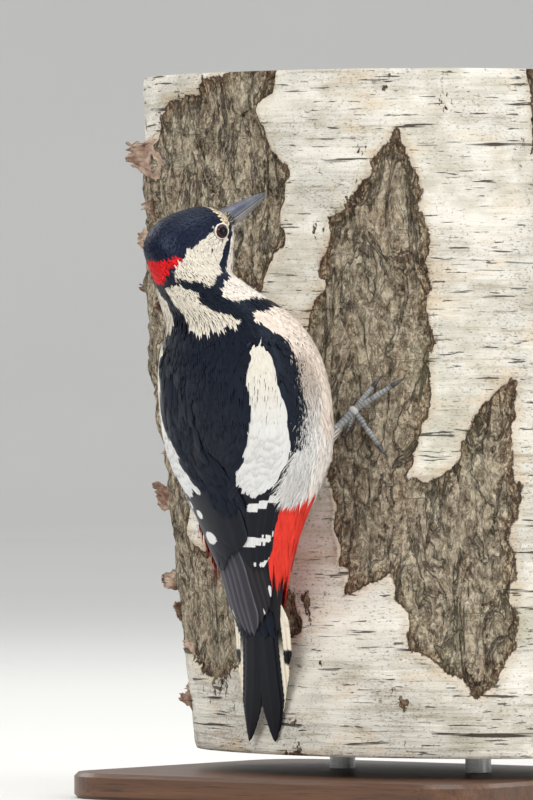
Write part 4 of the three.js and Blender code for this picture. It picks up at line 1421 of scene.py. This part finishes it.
def bark(level, angle, out=0.0):
    """The log's surface: a leaning ellipse with two- and three-lobed swells that turn with height, grown by
    out."""
    a = np.radians(angle)
    swell = LOG_SWELL * (np.sin(2 * a + level / 40) + 0.6 * np.sin(3 * a - level / 27 + 1)) + out
    x = LOG_X + LOG_LEAN_X * level + (LOG_WIDE + swell) * np.sin(a)
    y = LOG_Y + LOG_LEAN_Y * level - (LOG_DEEP + swell) * np.cos(a)
    return np.stack([x, y, level + 0 * a], -1) + TAIL_TIP


def on_bark(x, z, lift):
    """The place on the bark at a sideways distance and a height, found by closing in on its angle."""
    x, z = np.asarray(x, float), np.asarray(z, float)
    angle = np.zeros(np.broadcast(x, z).shape)
    for _ in range(12):
        angle = angle + np.degrees((x - (bark(z, angle)[..., 0] - TAIL_TIP[0])) / LOG_WIDE)
    return bark(z, angle, lift)


def rough_share(angle, level):
    """How far the bark at a place is crusted and cracked, from 0 to 1: the outlines, jittered by noise, and
    chance diamonds on the far side."""
    a = angle + 7 * (fractal(angle / 9 + 40, level / 9, 81, 4, 40) - 0.5)
    z = level + 12 * (fractal(angle / 9 + 40, level / 9, 91, 4, 40) - 0.5)
    found = np.any([inside(np.array(outline, float), a, z) for outline in ROUGH], axis=0)
    found &= ~inside(np.array(WHITE_ISLAND, float), a, z)
    back = noise(a / 36, z / 62, 95, 10) + 0.35 * fractal(a / 9, z / 26, 96, 3, 40)
    back = back - 0.5 * smooth_step(45, 20, z)
    far = smooth_step(64, 80, np.abs(angle))
    return np.where(far > 0.5, (back > 0.86) | ((np.abs(angle) < 84) & found), found).astype(float)


def blurred(share, times):
    """A grid's values, each made the mean of itself and its four neighbours a number of times."""
    for _ in range(times):
        share = sum((np.roll(share, by, axis) for by, axis in ((1, 1), (-1, 1), (1, 0), (-1, 0))), share) / 5
    return share


def bark_relief(angle, level, soft, wide):
    """Height of the bark over the log: plates between upright cracks where soft is high, and low bands and
    swells elsewhere. It is held low where the feet grip and the tail rests, and falls at the sawn rims."""
    arc = (angle + 180) / 360 * 512
    bend = fractal(arc / 16, level / 24, 101, 3, 32)
    plates = fractal(arc / 8 + bend, level / 15, 102, 4, 64)
    cleft = 1 - np.abs(2 * noise(arc / 8 + 1.6 * bend, level / 30 + bend, 103, 64) - 1)
    split = 1 - np.abs(2 * noise(arc / 4 + 1.4 * bend, level / 9 + bend, 104, 128) - 1)
    grain = fractal(arc / 2, level / 3, 105, 3, 256)
    crust = 3.4 * (plates - 0.5) - 2.2 * smooth_step(0.86, 1.0, cleft) - 1.1 * smooth_step(0.84, 1.0, split)
    crust = crust + 1.5 * (grain - 0.5) - 0.5
    proud = np.exp(-(((angle + 62) / 24) ** 2)) * smooth_step(60, 120, level)
    crust = crust + 11.0 * proud * (fractal(arc / 16, level / 22, 108, 3, 32) - 0.38)
    layer = fractal(arc / 64, level / 3.4, 106, 3, 8) - 0.5
    swell = fractal(arc / 32, level / 26, 107, 3, 16) - 0.5
    paper = 0.5 * layer + 1.3 * swell + 0.9 * np.exp(-(((wide - 0.26) / 0.13) ** 2))
    grip = np.exp(-(((angle - 7) / 30) ** 2) - ((level - 124) / 34) ** 2)
    rest = np.exp(-(((angle + 12) / 22) ** 2) - ((level + 2) / 40) ** 2)
    held = np.maximum(grip, rest)
    low, high = mix(-3.0, -0.35, grip), mix(2.6 + 4 * proud, 0.35, held)
    relief = np.clip(mix(paper, crust, soft) * mix(1, 0.35, held), low, high)
    return relief - 0.8 * np.exp(-np.minimum(level - LOG_BOTTOM, LOG_TOP - level) / 1.2)


def build_log():
    """The birch log: a grid of levels and angles, closer at the front, raised by the bark's relief. Sawn ends
    with rings of points round a pith close it."""
    p = settings()[1]
    cols, rows, rings = p.columns, p.rows, LOG_RINGS
    u = np.linspace(-0.5, 0.5, cols, endpoint=False)[None, :]
    angle = 360 * u - 0.62 * np.degrees(np.sin(2 * np.pi * u))
    level = np.linspace(LOG_BOTTOM, LOG_TOP, rows)[:, None]
    angle, level = np.broadcast_arrays(angle, level)
    rough = rough_share(angle, level)
    soft, wide = blurred(rough, 2), blurred(rough, 9)
    side = bark(level, angle, bark_relief(angle, level, soft, wide))
    start, per = rows * cols, (rings - 1) * cols
    points, quads, fans = [side.reshape(-1, 3)], [grid_quads(rows, cols, closed=True)[:, ::-1]], []
    radius = [np.ones(start)]
    share = (1 - np.arange(1, rings + 1) / rings)[:, None, None]
    for end, rim in ((0, side[0]), (1, side[-1])):
        pith = rim.mean(0) + [6.0, -5.0, 0.0]
        cap = mix(pith, rim[None], share)
        cap[..., 2] += 0.12 * (fractal(cap[..., 0] / 3, cap[..., 1] / 22, 107, 3) - 0.5)
        first = np.arange(cols) + end * (rows - 1) * cols
        index = np.vstack([first, start + np.arange(per).reshape(rings - 1, cols)])
        a, b, last, way = index[:-1], index[1:], index[-1], -1 if end else 1
        ring = np.stack([a, np.roll(a, -1, 1), np.roll(b, -1, 1), b], -1).reshape(-1, 4)
        fan = np.stack([last, np.roll(last, -1), np.full(cols, start + per)], -1)
        quads.append(ring[:, ::way])
        fans.append(fan[:, ::way])
        points += [cap[:-1].reshape(-1, 3), pith[None]]
        radius.append(np.append(np.repeat(share[:-1, 0, 0], cols), 0.0))
        start += per + 1
    ends = np.zeros(2 * (per + 1))
    values = {
        "rough": np.append(soft, ends), "core": np.append(blurred(wide, 8), ends),
        "sawn": np.append(np.zeros(rows * cols), ends + 1), "radius": np.concatenate(radius),
    }
    points, faces = np.vstack(points), [np.vstack(quads), np.vstack(fans)]
    a, b, c = (points[faces[0][: rows * cols // 2, i]] for i in (0, 1, 2))
    if np.sum(np.cross(b - a, c - a) * (a - points.mean(0)) * [1, 1, 0]) < 0:
        faces = [f[:, ::-1] for f in faces]
    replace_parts(put_mesh("perch_log", points, faces, bark_finish(), "birch", values=values), "perch_log")
    build_curls()


def paper_bark(m, cloud, stain, speck, band):
    """The papery bark's colour and its dark slits: chalky white with specks, tan stains and halos."""
    p = settings()[1]
    patchy = m.noise((31, 31, 44), (0.7, 0, 0.4), detail=5, rough=0.65)
    tint = m.layers(
        m.blend(m.span(cloud, 0.35, 0.65), tuple(p.paper_white), linear(206, 203, 194)),
        (stain, 0.54, 0.74, 0.7, (206, 178, 138)), (stain, 0.44, 0.24, 0.6, (164, 162, 142)),
        (patchy, 0.50, 0.66, 0.6, (172, 164, 146)), (patchy, 0.42, 0.30, 0.5, (220, 200, 172)),
    )
    shown = m.times(m.span(band, 0.50, 0.70, 0, 0.75), m.span(cloud, 0.38, 0.6, 0.15, 1.0))
    halo = m.sum(m.value("core"), m.span(stain, 0.3, 0.7, -0.12, 0.12))
    spread = m.sum(speck, m.span(cloud, 0.3, 0.7, -0.05, 0.05))
    tint = m.layers(
        m.blend(shown, tint, linear(146, 134, 110)),
        (halo, 0.08, 0.36, 0.38, (196, 172, 138)), (spread, 0.56, 0.64, 0.62, (112, 100, 78)),
    )
    slits = []
    for wide, tall, low, tone in ((34, 520, 0.665, 0.9), (95, 900, 0.655, 0.8), (13, 210, 0.665, 0.95)):
        slit = m.noise((wide, wide, tall), (0.02, -0.03, 0), rough=0.55, distort=0.15)
        slits.append(m.times(m.span(slit, low, low + 0.035), tone))
    dark = m.sum(m.sum(slits[0], slits[1], "MAXIMUM"), slits[2], "MAXIMUM")
    return m.blend(dark, tint, tuple(p.crack_dark)), dark


def crusty_bark(m, ragged, flake, mottle):
    """The rough bark's colour and its clefts: brown flakes with pale tops and dark hollows, partly the bark's
    own colour and partly painted highlight on the raised flakes and painted shade in the clefts, redder and
    greyer patches, and a paler heart."""
    hue, red = m.noise((42, 42, 26)), m.noise((70, 70, 40), (0, 0, 1))
    # The flake and mottle noise also raise the bump: pale where they stand high and dark where they lie low,
    # partly the bark's own colour, partly painted highlight and painted shade.
    tint = m.layers(
        m.blend(m.span(flake, 0.32, 0.5), linear(58, 45, 33), tuple(settings()[1].crust_brown)),
        (flake, 0.48, 0.62, 1, (198, 180, 150)), (flake, 0.62, 0.72, 1, (226, 216, 196)),
        (hue, 0.48, 0.66, 0.6, (132, 130, 106)), (red, 0.50, 0.70, 0.6, (134, 88, 56)),
        (mottle, 0.50, 0.60, 0.7, (228, 214, 186)), (mottle, 0.48, 0.38, 0.8, (80, 56, 38)),
    )
    cleft = m.near(m.noise((75, 75, 26), detail=5, rough=0.6, distort=0.9), 0.5, 0.030)
    crack = m.near(m.noise((260, 260, 120), detail=4, rough=0.6, distort=0.9), 0.5, 0.035, 0.45)
    crevice = m.times(m.sum(cleft, crack, "MAXIMUM"), m.span(mottle, 0.38, 0.55, 0.45, 1.0))
    core = m.sum(m.value("core"), m.span(ragged, 0.3, 0.7, -0.12, 0.12))
    pale = m.ramp(flake, 0.36, 0.58, (112, 94, 70), (226, 214, 190))
    tint = m.blend(m.span(core, 0.80, 1.0, 0, 0.6), tint, pale)
    tint = m.layers(tint, (core, 0.72, 0.50, 0.5, (104, 66, 42)))
    # The clefts get a near-black brown: partly the bark's dark fissures, partly painted shade in them.
    return m.blend(m.times(crevice, 0.92), tint, linear(38, 29, 22)), crevice


def sawn_wood(m):
    """The colour of the sawn ends: growth rings by the distance from the pith, saw marks and a dark rim."""
    radius = m.value("radius")
    wobbly = m.sum(radius, m.span(m.noise(26), 0, 1, -0.04, 0.04))
    place = m.add("ShaderNodeCombineXYZ", None, {0: wobbly}).outputs[0]
    ring = m.add("ShaderNodeTexNoise", None, {"Vector": place, "Scale": 34.0, "Detail": 2}).outputs[0]
    return m.layers(
        m.ramp(ring, 0.35, 0.65, (216, 202, 176), (190, 168, 136)),
        (m.noise(1300, rough=0.7), 0.3, 0.7, 0.3, (164, 142, 112)),
        (radius, 0.45, 0.08, 0.6, (140, 106, 76)),
        (m.noise((12, 900, 12), (0, 0, 0.6), detail=2), 0.5, 0.8, 0.3, (150, 126, 96)),
        (radius, 0.950, 0.962, 1, (84, 56, 38)),
    )


def bark_finish():
    """Birch: papery and crusty bark with a ragged dark brown border between them, partly brown inner bark and
    partly painted shadow along the papery bark's raised edge, some lichen, and sawn ends.
    """
    m = Finish("birch")
    cloud = m.noise((38, 38, 55), detail=4)
    stain = m.noise((24, 24, 85), (0.3, 0.2, 0.5), detail=4, rough=0.6)
    speck = m.noise((800, 800, 1500), detail=4, rough=0.65)
    band = m.noise((30, 30, 560), (0.03, 0.04, 0), detail=5, rough=0.6, distort=0.4)
    ragged = m.noise((95, 95, 70), detail=5, rough=0.7, distort=0.5)
    flake = m.noise((300, 300, 190), detail=7, rough=0.74, distort=0.5)
    mottle = m.noise((900, 900, 560), detail=5, rough=0.7)
    scab = m.noise((36, 36, 25), (0, 0.3, 0.8), detail=6, rough=0.68, distort=0.4)
    lichen = m.noise((15, 15, 13), (0.4, 0.1, 1.9), detail=6, rough=0.7)
    paper, dark = paper_bark(m, cloud, stain, speck, band)
    crust, crevice = crusty_bark(m, ragged, flake, mottle)
    border = m.value("rough")
    for shift in (
        m.span(ragged, 0.25, 0.75, -0.55, 0.55), m.span(scab, 0.59, 0.66, 0.0, 0.75),
        m.span(flake, 0.25, 0.75, -0.25, 0.25),
    ):
        border = m.sum(border, shift)
    edge = m.span(border, 0.46, 0.54)
    # Dark brown band on the crust side of the border, sunk in the bump: partly inner bark, partly painted
    # shadow of the papery bark's raised edge.
    rim = m.times(m.near(border, 0.56, 0.16), m.span(ragged, 0.35, 0.6, 0.85, 0.15))
    tint = m.blend(rim, m.blend(edge, paper, crust), linear(76, 50, 32))
    tint = m.layers(tint, (lichen, 0.60, 0.74, 0.45, (150, 152, 112)))
    sawn = m.span(m.value("sawn"), 0.6, 0.8)
    height = m.sum(m.times(m.sum(flake, m.times(mottle, 0.35)), edge), m.times(m.times(crevice, edge), -0.9))
    height = m.sum(height, m.sum(m.times(dark, -0.7), m.times(band, 0.35)))
    height = m.times(m.sum(height, m.times(rim, -0.5)), m.sum(1.0, sawn, "SUBTRACT"))
    return m.surface(
        Base_Color=m.blend(sawn, tint, sawn_wood(m)), Roughness=m.span(edge, 0, 1, 0.68, 0.9),
        Normal=m.bump(speck, 0.35, 0.0003, m.bump(height, 1.0, 0.0024)), Specular_IOR_Level=0.3,
    )


def curl_finish():
    """Loose bark: pinkish-brown and chalky patches mixed by noise, with fine cross lines."""
    m = Finish("bark_curl")
    line = m.noise((60, 60, 1400))
    tint = m.ramp(m.noise(160, detail=5, rough=0.65), 0.36, 0.62, (104, 70, 54), (196, 172, 152))
    tint = m.layers(tint, (line, 0.55, 0.7, 0.7, (86, 62, 48)))
    return m.surface(Base_Color=tint, Roughness=0.75, Normal=m.bump(line, 0.4, 0.0003))


def build_curls():
    """Loose flakes of outer bark: each is a thin closed sheet that leaves the log sideways, rolls back on an
    arc and narrows to a torn tip. Columns of noise make its roll and its end uneven."""
    rng = np.random.default_rng(111)
    count = 46
    angles = np.append(rng.uniform(-82, -46, 22), rng.uniform(64, 290, count - 22))
    levels = rng.uniform(4, 246, count)
    sizes = rng.uniform(3.5, 8.5, count)
    rows, cols = 18, 25
    f, u = shares(rows, cols)
    quads = vane_faces(rows, cols)[0]
    shapes = []
    angles[0], levels[0], sizes[0] = -44.0, 224.0, 17.0
    for k, (angle, level, size) in enumerate(zip(angles, levels, sizes)):
        way = -1 if rng.uniform() < 0.6 or k == 0 else 1
        wide = size * rng.uniform(0.35, 0.8)
        torn = 1 - 0.75 * fractal(u * 2.6 + 9 * k, 0 * u + 0.7 * k, 114, 3)
        roll = np.radians(rng.uniform(60, 200)) * f * torn * 1.5
        radius = size / np.radians(150)
        along = radius * np.sin(roll) * 1.3
        lift = 2.2 * f**0.5 - 1.2 + radius * (1 - np.cos(roll)) + 0.5 * fractal(u * 3 + 5 * k, f * 4, 115, 3)
        ragged = 1 + 0.9 * (fractal(f * 5 + 9 * k, u * 2, 112, 3) - 0.5)
        z = level + wide * u * (1 - 0.5 * f**1.5) * ragged + rng.uniform(-3, 3) * f
        place = angle + way * np.degrees((along + 0.8 * noise(u * 3 + 7 * k, f * 2, 113) * f) / 85)
        top, low = (bark(z, place, lift + half)[None] for half in (0.14, -0.14))
        shapes.append((both_sides(top, low)[0], [quads if way < 0 else quads[:, ::-1]]))
    points, faces = join_shapes(shapes)
    put_mesh("bark_curls", points, faces, curl_finish(), "birch")


# ---- legs

TOE_RADIUS, TOE_TIP, TOE_RISE = 1.2, 0.9, 2.0
SHANK_ROWS, SHANK_AROUND, TOE_ROWS, TOE_AROUND, CLAW_ROWS, CLAW_AROUND = 60, 18, 64, 16, 26, 14
# Name, how far sideways and up each toe reaches, and its claw's length.
TOES = [
    ("inner_front", 6.8, 9.6, 4.4), ("outer_front", 13.6, 9.6, 4.6), ("outer_rear", 10.4, -14.0, 4.6),
    ("inner_rear", -2.0, -7.0, 3.2),
]


def toe_place(side, across, up, along, lift):
    """A place over the bark at a share along a toe."""
    x = sway(LEG_BALL[1]) + side * LEG_BALL[0] + side * across * along
    return on_bark(x, LEG_BALL[1] + up * along, lift)


def leg_finishes():
    """The lead-grey skin with its scutes, and the dark horn of the claws."""
    m = Finish("leg_scale")
    cells = {"Vector": m.place(1500), "Scale": 1.0}
    scales = m.add("ShaderNodeTexVoronoi", {"feature": "DISTANCE_TO_EDGE"}, cells).outputs[0]
    band = m.value("scute")
    tint = m.ramp(m.noise(500, detail=4), 0.3, 0.7, (112, 116, 120), (156, 158, 158))
    tint = m.blend(m.span(band, 0.0, 0.35, 0.75, 0.0), tint, linear(208, 208, 202))
    tint = m.layers(tint, (scales, 0.10, 0.0, 0.3, (60, 58, 58)), (band, 0.70, 0.92, 0.85, (50, 48, 50)))
    bump = m.bump(m.sum(m.span(scales, 0.0, 0.25, 0, 0.4), m.span(band, 0.7, 1.0, 0.6, 0.0)), 0.6, 0.0002)
    m.surface(Base_Color=tint, Roughness=0.5, Normal=bump, Specular_IOR_Level=0.4)
    horn = Finish("claw")
    fibre = horn.noise((500, 500, 1600), detail=5)
    shade = horn.ramp(fibre, 0.3, 0.7, (44, 42, 44), (86, 82, 80))
    horn.surface(Base_Color=shade, Roughness=0.34, Normal=horn.bump(fibre, 0.3, 0.00008), Coat_Weight=0.2)
    return m.material, horn.material


def build_feet():
    """Tarsi, toes and claws. Toes bulge at their pads and step at their scutes: the radius is a saw wave on a
    slow swelling. Claws taper and hook down to the bark."""
    skin, horn = leg_finishes()
    for side, word in ((RIGHT, "right"), (LEFT, "left")):
        ball, heel = toe_place(side, 0, 0, 0, TOE_RISE + 0.4), leg_place(side, LEG_HEEL)
        f = np.linspace(0, 1, SHANK_ROWS)
        path = smooth_path([heel, mix(heel, ball, 0.5) + [0, -0.25, 0], ball], SHANK_ROWS)
        saw = (f * 15) % 1
        radii = 1.42 + 0.35 * np.exp(-(((f - 1) / 0.12) ** 2)) + 0.25 * np.exp(-((f / 0.1) ** 2))
        tarsus = swept(path, radii * (0.96 + 0.08 * saw), SHANK_AROUND)
        lines = np.append(np.repeat(saw, SHANK_AROUND), [0, 0])
        shank = put_mesh(f"tarsus_{word}", *tarsus, skin, "leg_scale", values={"scute": lines})
        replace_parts(shank, f"tarsus_{word}")
        path = np.array([mix(ball, heel, 0.10), mix(ball, heel, 0.04), ball, mix(ball, heel, -0.05)])
        shapes = [swept(path, [1.2, 2.0, 2.1, 1.2], SHANK_AROUND)]
        scutes = [np.zeros(len(shapes[0][0]))]
        for name, across, up, claw in TOES:
            f = np.linspace(0, 1, TOE_ROWS)
            path = toe_place(side, across, up, f, TOE_RISE + 0.8 * np.sin(np.pi * f) - 0.4 * f)
            saw = (f * (13 if claw > 4 else 8)) % 1
            pads = 0.10 * np.cos(2 * np.pi * (f * 3 + 0.1))
            radii = (mix(TOE_RADIUS, TOE_TIP, f) + pads) * (0.94 + 0.11 * saw)
            shapes.append(swept(path, radii, TOE_AROUND))
            scutes.append(np.append(np.repeat(saw, TOE_AROUND), [0, 0]))
            reach = np.hypot(across, up)
            f = np.linspace(0, 1, CLAW_ROWS)
            lift = TOE_RISE - 0.35 + 1.7 * np.sin(np.pi * f) - 1.5 * f**2
            path = toe_place(side, across, up, 1 - 0.5 / reach + f * (claw + 0.6) / reach, lift)
            hook = swept(path, mix(1.12, 0.12, f**1.25), CLAW_AROUND)
            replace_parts(put_mesh(f"claw_{word}_{name}", *hook, horn, "claw"), f"claw_{word}_{name}")
        values = {"scute": np.concatenate(scutes)}
        foot = put_mesh(f"foot_{word}", *join_shapes(shapes), skin, "leg_scale", values=values)
        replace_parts(foot, f"foot_{word}")


def build_leg_coat():
    """Soft pale feathers of the thighs and of the upper part of each tarsus."""
    groups = []
    for side in (RIGHT, LEFT):
        heel, ball = leg_place(side, LEG_HEEL), toe_place(side, 0, 0, 0, TOE_RISE + 0.4)
        path = np.vstack([thigh_path(side, 12), [mix(heel, ball, share) for share in (0.2, 0.4, 0.55)]])
        _, n, b = path_frames(path)
        radii = np.concatenate([mix(7.0, 3.0, np.linspace(0, 1, 12) ** 1.4), [2.4, 2.0, 1.8]])
        table = np.hstack([path, n, b, radii[:, None]]).T

        def leg(p, q, out=0.0, table=table):
            """A round bar about the leg's line: p along it from 0 to 14, q round it."""
            row = np.moveaxis(spline(table, np.clip(p, -1.0, 14.5)), 0, -1)
            a = np.radians(q)[..., None]
            way = row[..., 3:6] * np.cos(a) + row[..., 6:9] * np.sin(a)
            return row[..., :3] + (row[..., 9:] + np.asarray(out)[..., None]) * way

        rng = np.random.default_rng(121)
        p, q = spread_roots(leg, 0.3, 13.2, 1.35, 122)
        size = np.interp(p, [0, 8, 11, 13.2], [7.5, 5.5, 3.6, 2.4]) * rng.uniform(0.8, 1.2, len(p))
        size = np.minimum(size, 40 * np.maximum(13.9 - p, 0.1))
        feathers = vanes(
            leg, p, q, size, size * 0.14 + 0.15, rows=5, cols=7, fray=0.6, rise=0.2, ruffle=0.2, seed=123,
            depth=np.interp(p, [0, 11, 14], [1.2, 0.9, 0.4]), lean=rng.normal(0, 0.12, len(p)),
            steps=(0.05, 2.0), thick=0.09,
        )
        tint = vane_colours(feathers, np.tile(palette()[BELLY_BUFF], (len(p), 1)), 124, base=0.75, vary=0.08)
        groups.append((feathers, tint))
    put_vanes("coat_legs", groups, coat_finish("coat_legs", (3.0, 0.3), 0.00008), "plumage_pale")


# ---- stand and stage

FLOOR_AROUND, SENSOR = 96, 36.0
# Each light's place to the camera's right, away and up in metres, its size, power and colour.
LIGHTS = [
    ("key", (-0.9, -1.3, 1.15), 0.9, 16.0, (1.0, 0.985, 0.96)),
    ("fill", (1.3, -1.0, 0.5), 1.1, 9.5, (1.0, 0.985, 0.97)),
    ("top", (0.1, -0.1, 1.7), 1.2, 9.0, (1.0, 1.0, 1.0)),
    ("back_left", (-1.2, 1.3, 1.0), 1.0, 7.0, (1.0, 0.99, 0.97)),
    ("back_right", (1.2, 1.3, 0.8), 1.0, 7.0, (0.96, 0.98, 1.0)),
]


def build_stand():
    """Finishes of the base and rods, whose shapes stay as they are."""
    wood = Finish("stand_wood")
    rings = wood.noise((9, 260, 260), detail=5, rough=0.6, distort=0.4)
    pores = wood.noise((70, 2400, 2400))
    tint = wood.ramp(rings, 0.3, 0.7, (72, 46, 30), (112, 76, 50))
    wood.surface(
        Base_Color=wood.layers(tint, (pores, 0.56, 0.66, 0.6, (34, 22, 15))), Coat_Weight=0.15,
        Roughness=wood.span(rings, 0.3, 0.7, 0.34, 0.46), Normal=wood.bump(pores, 0.2, 0.0001),
        Coat_Roughness=0.25,
    )
    steel = Finish("stand_metal")
    brushed = steel.noise((300, 300, 9000))
    steel.surface(
        Base_Color=steel.ramp(brushed, 0.3, 0.7, (168, 170, 172), (206, 207, 208)), Metallic=1.0,
        Roughness=steel.span(brushed, 0.3, 0.7, 0.26, 0.4), Normal=steel.bump(brushed, 0.12, 0.00005),
    )
    for node, finish in (("stand_base", wood), ("stand_rod_1", steel), ("stand_rod_2", steel)):
        piece = bpy.data.objects[node]
        piece.data.materials.clear()
        piece.data.materials.append(finish.material)


def put_floor(tone):
    """A pale round floor that turns up all round into a backdrop."""
    bend = np.linspace(0.1, np.pi / 2, 12)
    radius = np.concatenate([np.linspace(0.05, 6.6, 12), 6.6 + 2.4 * np.sin(bend), [9.0]])
    height = np.concatenate([np.zeros(12), 2.4 - 2.4 * np.cos(bend), [4.0]])
    a = ring_angles(FLOOR_AROUND)[None, :]
    rows = np.stack([radius[:, None] * np.cos(a), radius[:, None] * np.sin(a), height[:, None] + 0 * a], -1)
    points = np.vstack([rows.reshape(-1, 3), [[0, 0, 0]]])
    quads = grid_quads(len(radius), FLOOR_AROUND, closed=True)
    k = np.arange(FLOOR_AROUND)
    hub = np.stack([np.full(FLOOR_AROUND, len(points) - 1), k, (k + 1) % FLOOR_AROUND], -1)
    mesh = bpy.data.meshes.new("floor")
    mesh.from_pydata(points.tolist(), [], quads[:, ::-1].tolist() + hub.tolist())
    mesh.polygons.foreach_set("use_smooth", np.ones(len(mesh.polygons), bool))
    m = Finish("floor")
    tint = m.blend(m.span(m.noise(1.5), 0.3, 0.7, 0, 1), tone, tuple(0.97 * c for c in tone))
    mesh.materials.append(m.surface(Base_Color=tint, Roughness=0.9))
    floor = bpy.data.objects.new("floor", mesh)
    bpy.context.scene.collection.objects.link(floor)


def build_stage():
    """The floor, soft lights round the bird, a pale world, and a level camera."""
    p = settings()[2]
    scene = bpy.context.scene
    put_floor(tuple(p.floor))
    right = Vector((np.cos(p.azimuth), np.sin(p.azimuth), 0))
    away = Vector((-np.sin(p.azimuth), np.cos(p.azimuth), 0))
    centre = Vector(TAIL_TIP) * MM + right * (-0.00089) + away * (-0.035) + Vector((0, 0, 0.1294))
    for name, (x, y, z), size, power, tint in LIGHTS:
        lamp = bpy.data.lights.new(name, "AREA")
        lamp.shape, lamp.size, lamp.energy, lamp.color = "DISK", size, power, tint
        place = bpy.data.objects.new(name, lamp)
        place.location = centre + right * x + away * y + Vector((0, 0, z))
        place.rotation_euler = (centre - place.location).to_track_quat("-Z", "Y").to_euler()
        scene.collection.objects.link(place)
    world = bpy.data.worlds.new("studio")
    world.use_nodes = True
    background = world.node_tree.nodes["Background"]
    background.inputs[0].default_value = (0.95, 0.97, 1.0, 1)
    background.inputs[1].default_value = 0.78
    scene.world = world
    scene.view_settings.view_transform = "Standard"

    camera = bpy.data.cameras.new("camera")
    camera.sensor_width = SENSOR
    camera.lens = SENSOR * p.distance / p.view_height
    camera.clip_end = 30.0
    viewer = bpy.data.objects.new("camera", camera)
    viewer.location = centre - away * p.distance
    viewer.rotation_euler = away.to_track_quat("-Z", "Y").to_euler()
    scene.collection.objects.link(viewer)
    scene.camera = viewer


# ---- operators


class WOODPECKER_OT_skin(bpy.types.Operator):
    """Skin under the coat, from the bill's root to the tail"""

    bl_idname = "woodpecker.skin"
    bl_label = "Skin"

    def execute(self, context):
        build_skin()
        return {"FINISHED"}


class WOODPECKER_OT_coat(bpy.types.Operator):
    """Contour feathers of head, neck, body, flanks and legs"""

    bl_idname = "woodpecker.coat"
    bl_label = "Coat"

    def execute(self, context):
        build_head_coat()
        build_body_coat()
        build_fringes()
        build_leg_coat()
        return {"FINISHED"}


class WOODPECKER_OT_wings(bpy.types.Operator):
    """Flight feathers, coverts and scapulars of both wings"""

    bl_idname = "woodpecker.wings"
    bl_label = "Wings"

    def execute(self, context):
        build_wing(RIGHT)
        build_wing(LEFT)
        return {"FINISHED"}


class WOODPECKER_OT_tail(bpy.types.Operator):
    """The ten stiff tail feathers"""

    bl_idname = "woodpecker.tail"
    bl_label = "Tail"

    def execute(self, context):
        build_tail()
        return {"FINISHED"}


class WOODPECKER_OT_head(bpy.types.Operator):
    """Bill, bill-root bristles, eyes and lids"""

    bl_idname = "woodpecker.head"
    bl_label = "Bill and eyes"

    def execute(self, context):
        build_bill()
        build_eyes()
        return {"FINISHED"}


class WOODPECKER_OT_feet(bpy.types.Operator):
    """Tarsi, toes and claws"""

    bl_idname = "woodpecker.feet"
    bl_label = "Feet"

    def execute(self, context):
        build_feet()
        return {"FINISHED"}


class WOODPECKER_OT_perch(bpy.types.Operator):
    """Birch log with its peeling bark"""

    bl_idname = "woodpecker.perch"
    bl_label = "Log"

    def execute(self, context):
        build_log()
        return {"FINISHED"}


class WOODPECKER_OT_stand(bpy.types.Operator):
    """Finishes of the display stand"""

    bl_idname = "woodpecker.stand"
    bl_label = "Stand"

    def execute(self, context):
        build_stand()
        return {"FINISHED"}


class WOODPECKER_OT_stage(bpy.types.Operator):
    """Floor, lights and camera"""

    bl_idname = "woodpecker.stage"
    bl_label = "Stage"

    def execute(self, context):
        build_stage()
        return {"FINISHED"}


OPERATORS = (
    WOODPECKER_OT_stage, WOODPECKER_OT_skin, WOODPECKER_OT_coat, WOODPECKER_OT_wings, WOODPECKER_OT_tail,
    WOODPECKER_OT_head, WOODPECKER_OT_feet, WOODPECKER_OT_perch, WOODPECKER_OT_stand,
)


class WOODPECKER_PT_panel(bpy.types.Panel):
    """Lists the pieces of the woodpecker"""

    bl_label = "Woodpecker"
    bl_space_type = "VIEW_3D"
    bl_region_type = "UI"
    bl_category = "Woodpecker"

    def draw(self, context):
        """One button for each operator."""
        for operator in OPERATORS:
            self.layout.operator(operator.bl_idname)


GROUPS = (WoodpeckerPlumage, WoodpeckerPerch, WoodpeckerStage)
CLASSES = (*GROUPS, *OPERATORS, WOODPECKER_PT_panel)


def register():
    """Registers the classes and puts the settings on the scene."""
    for kind in CLASSES:
        bpy.utils.register_class(kind)
    bpy.types.Scene.woodpecker_plumage = PointerProperty(type=WoodpeckerPlumage)
    bpy.types.Scene.woodpecker_perch = PointerProperty(type=WoodpeckerPerch)
    bpy.types.Scene.woodpecker_stage = PointerProperty(type=WoodpeckerStage)


def unregister():
    """Takes the settings and classes away again."""
    del bpy.types.Scene.woodpecker_plumage, bpy.types.Scene.woodpecker_perch, bpy.types.Scene.woodpecker_stage
    for kind in reversed(CLASSES):
        bpy.utils.unregister_class(kind)


def main():
    """Builds every piece in order."""
    register()
    for operator in OPERATORS:
        category, name = operator.bl_idname.split(".")
        getattr(getattr(bpy.ops, category), name)()


if __name__ == "__main__":
    main()
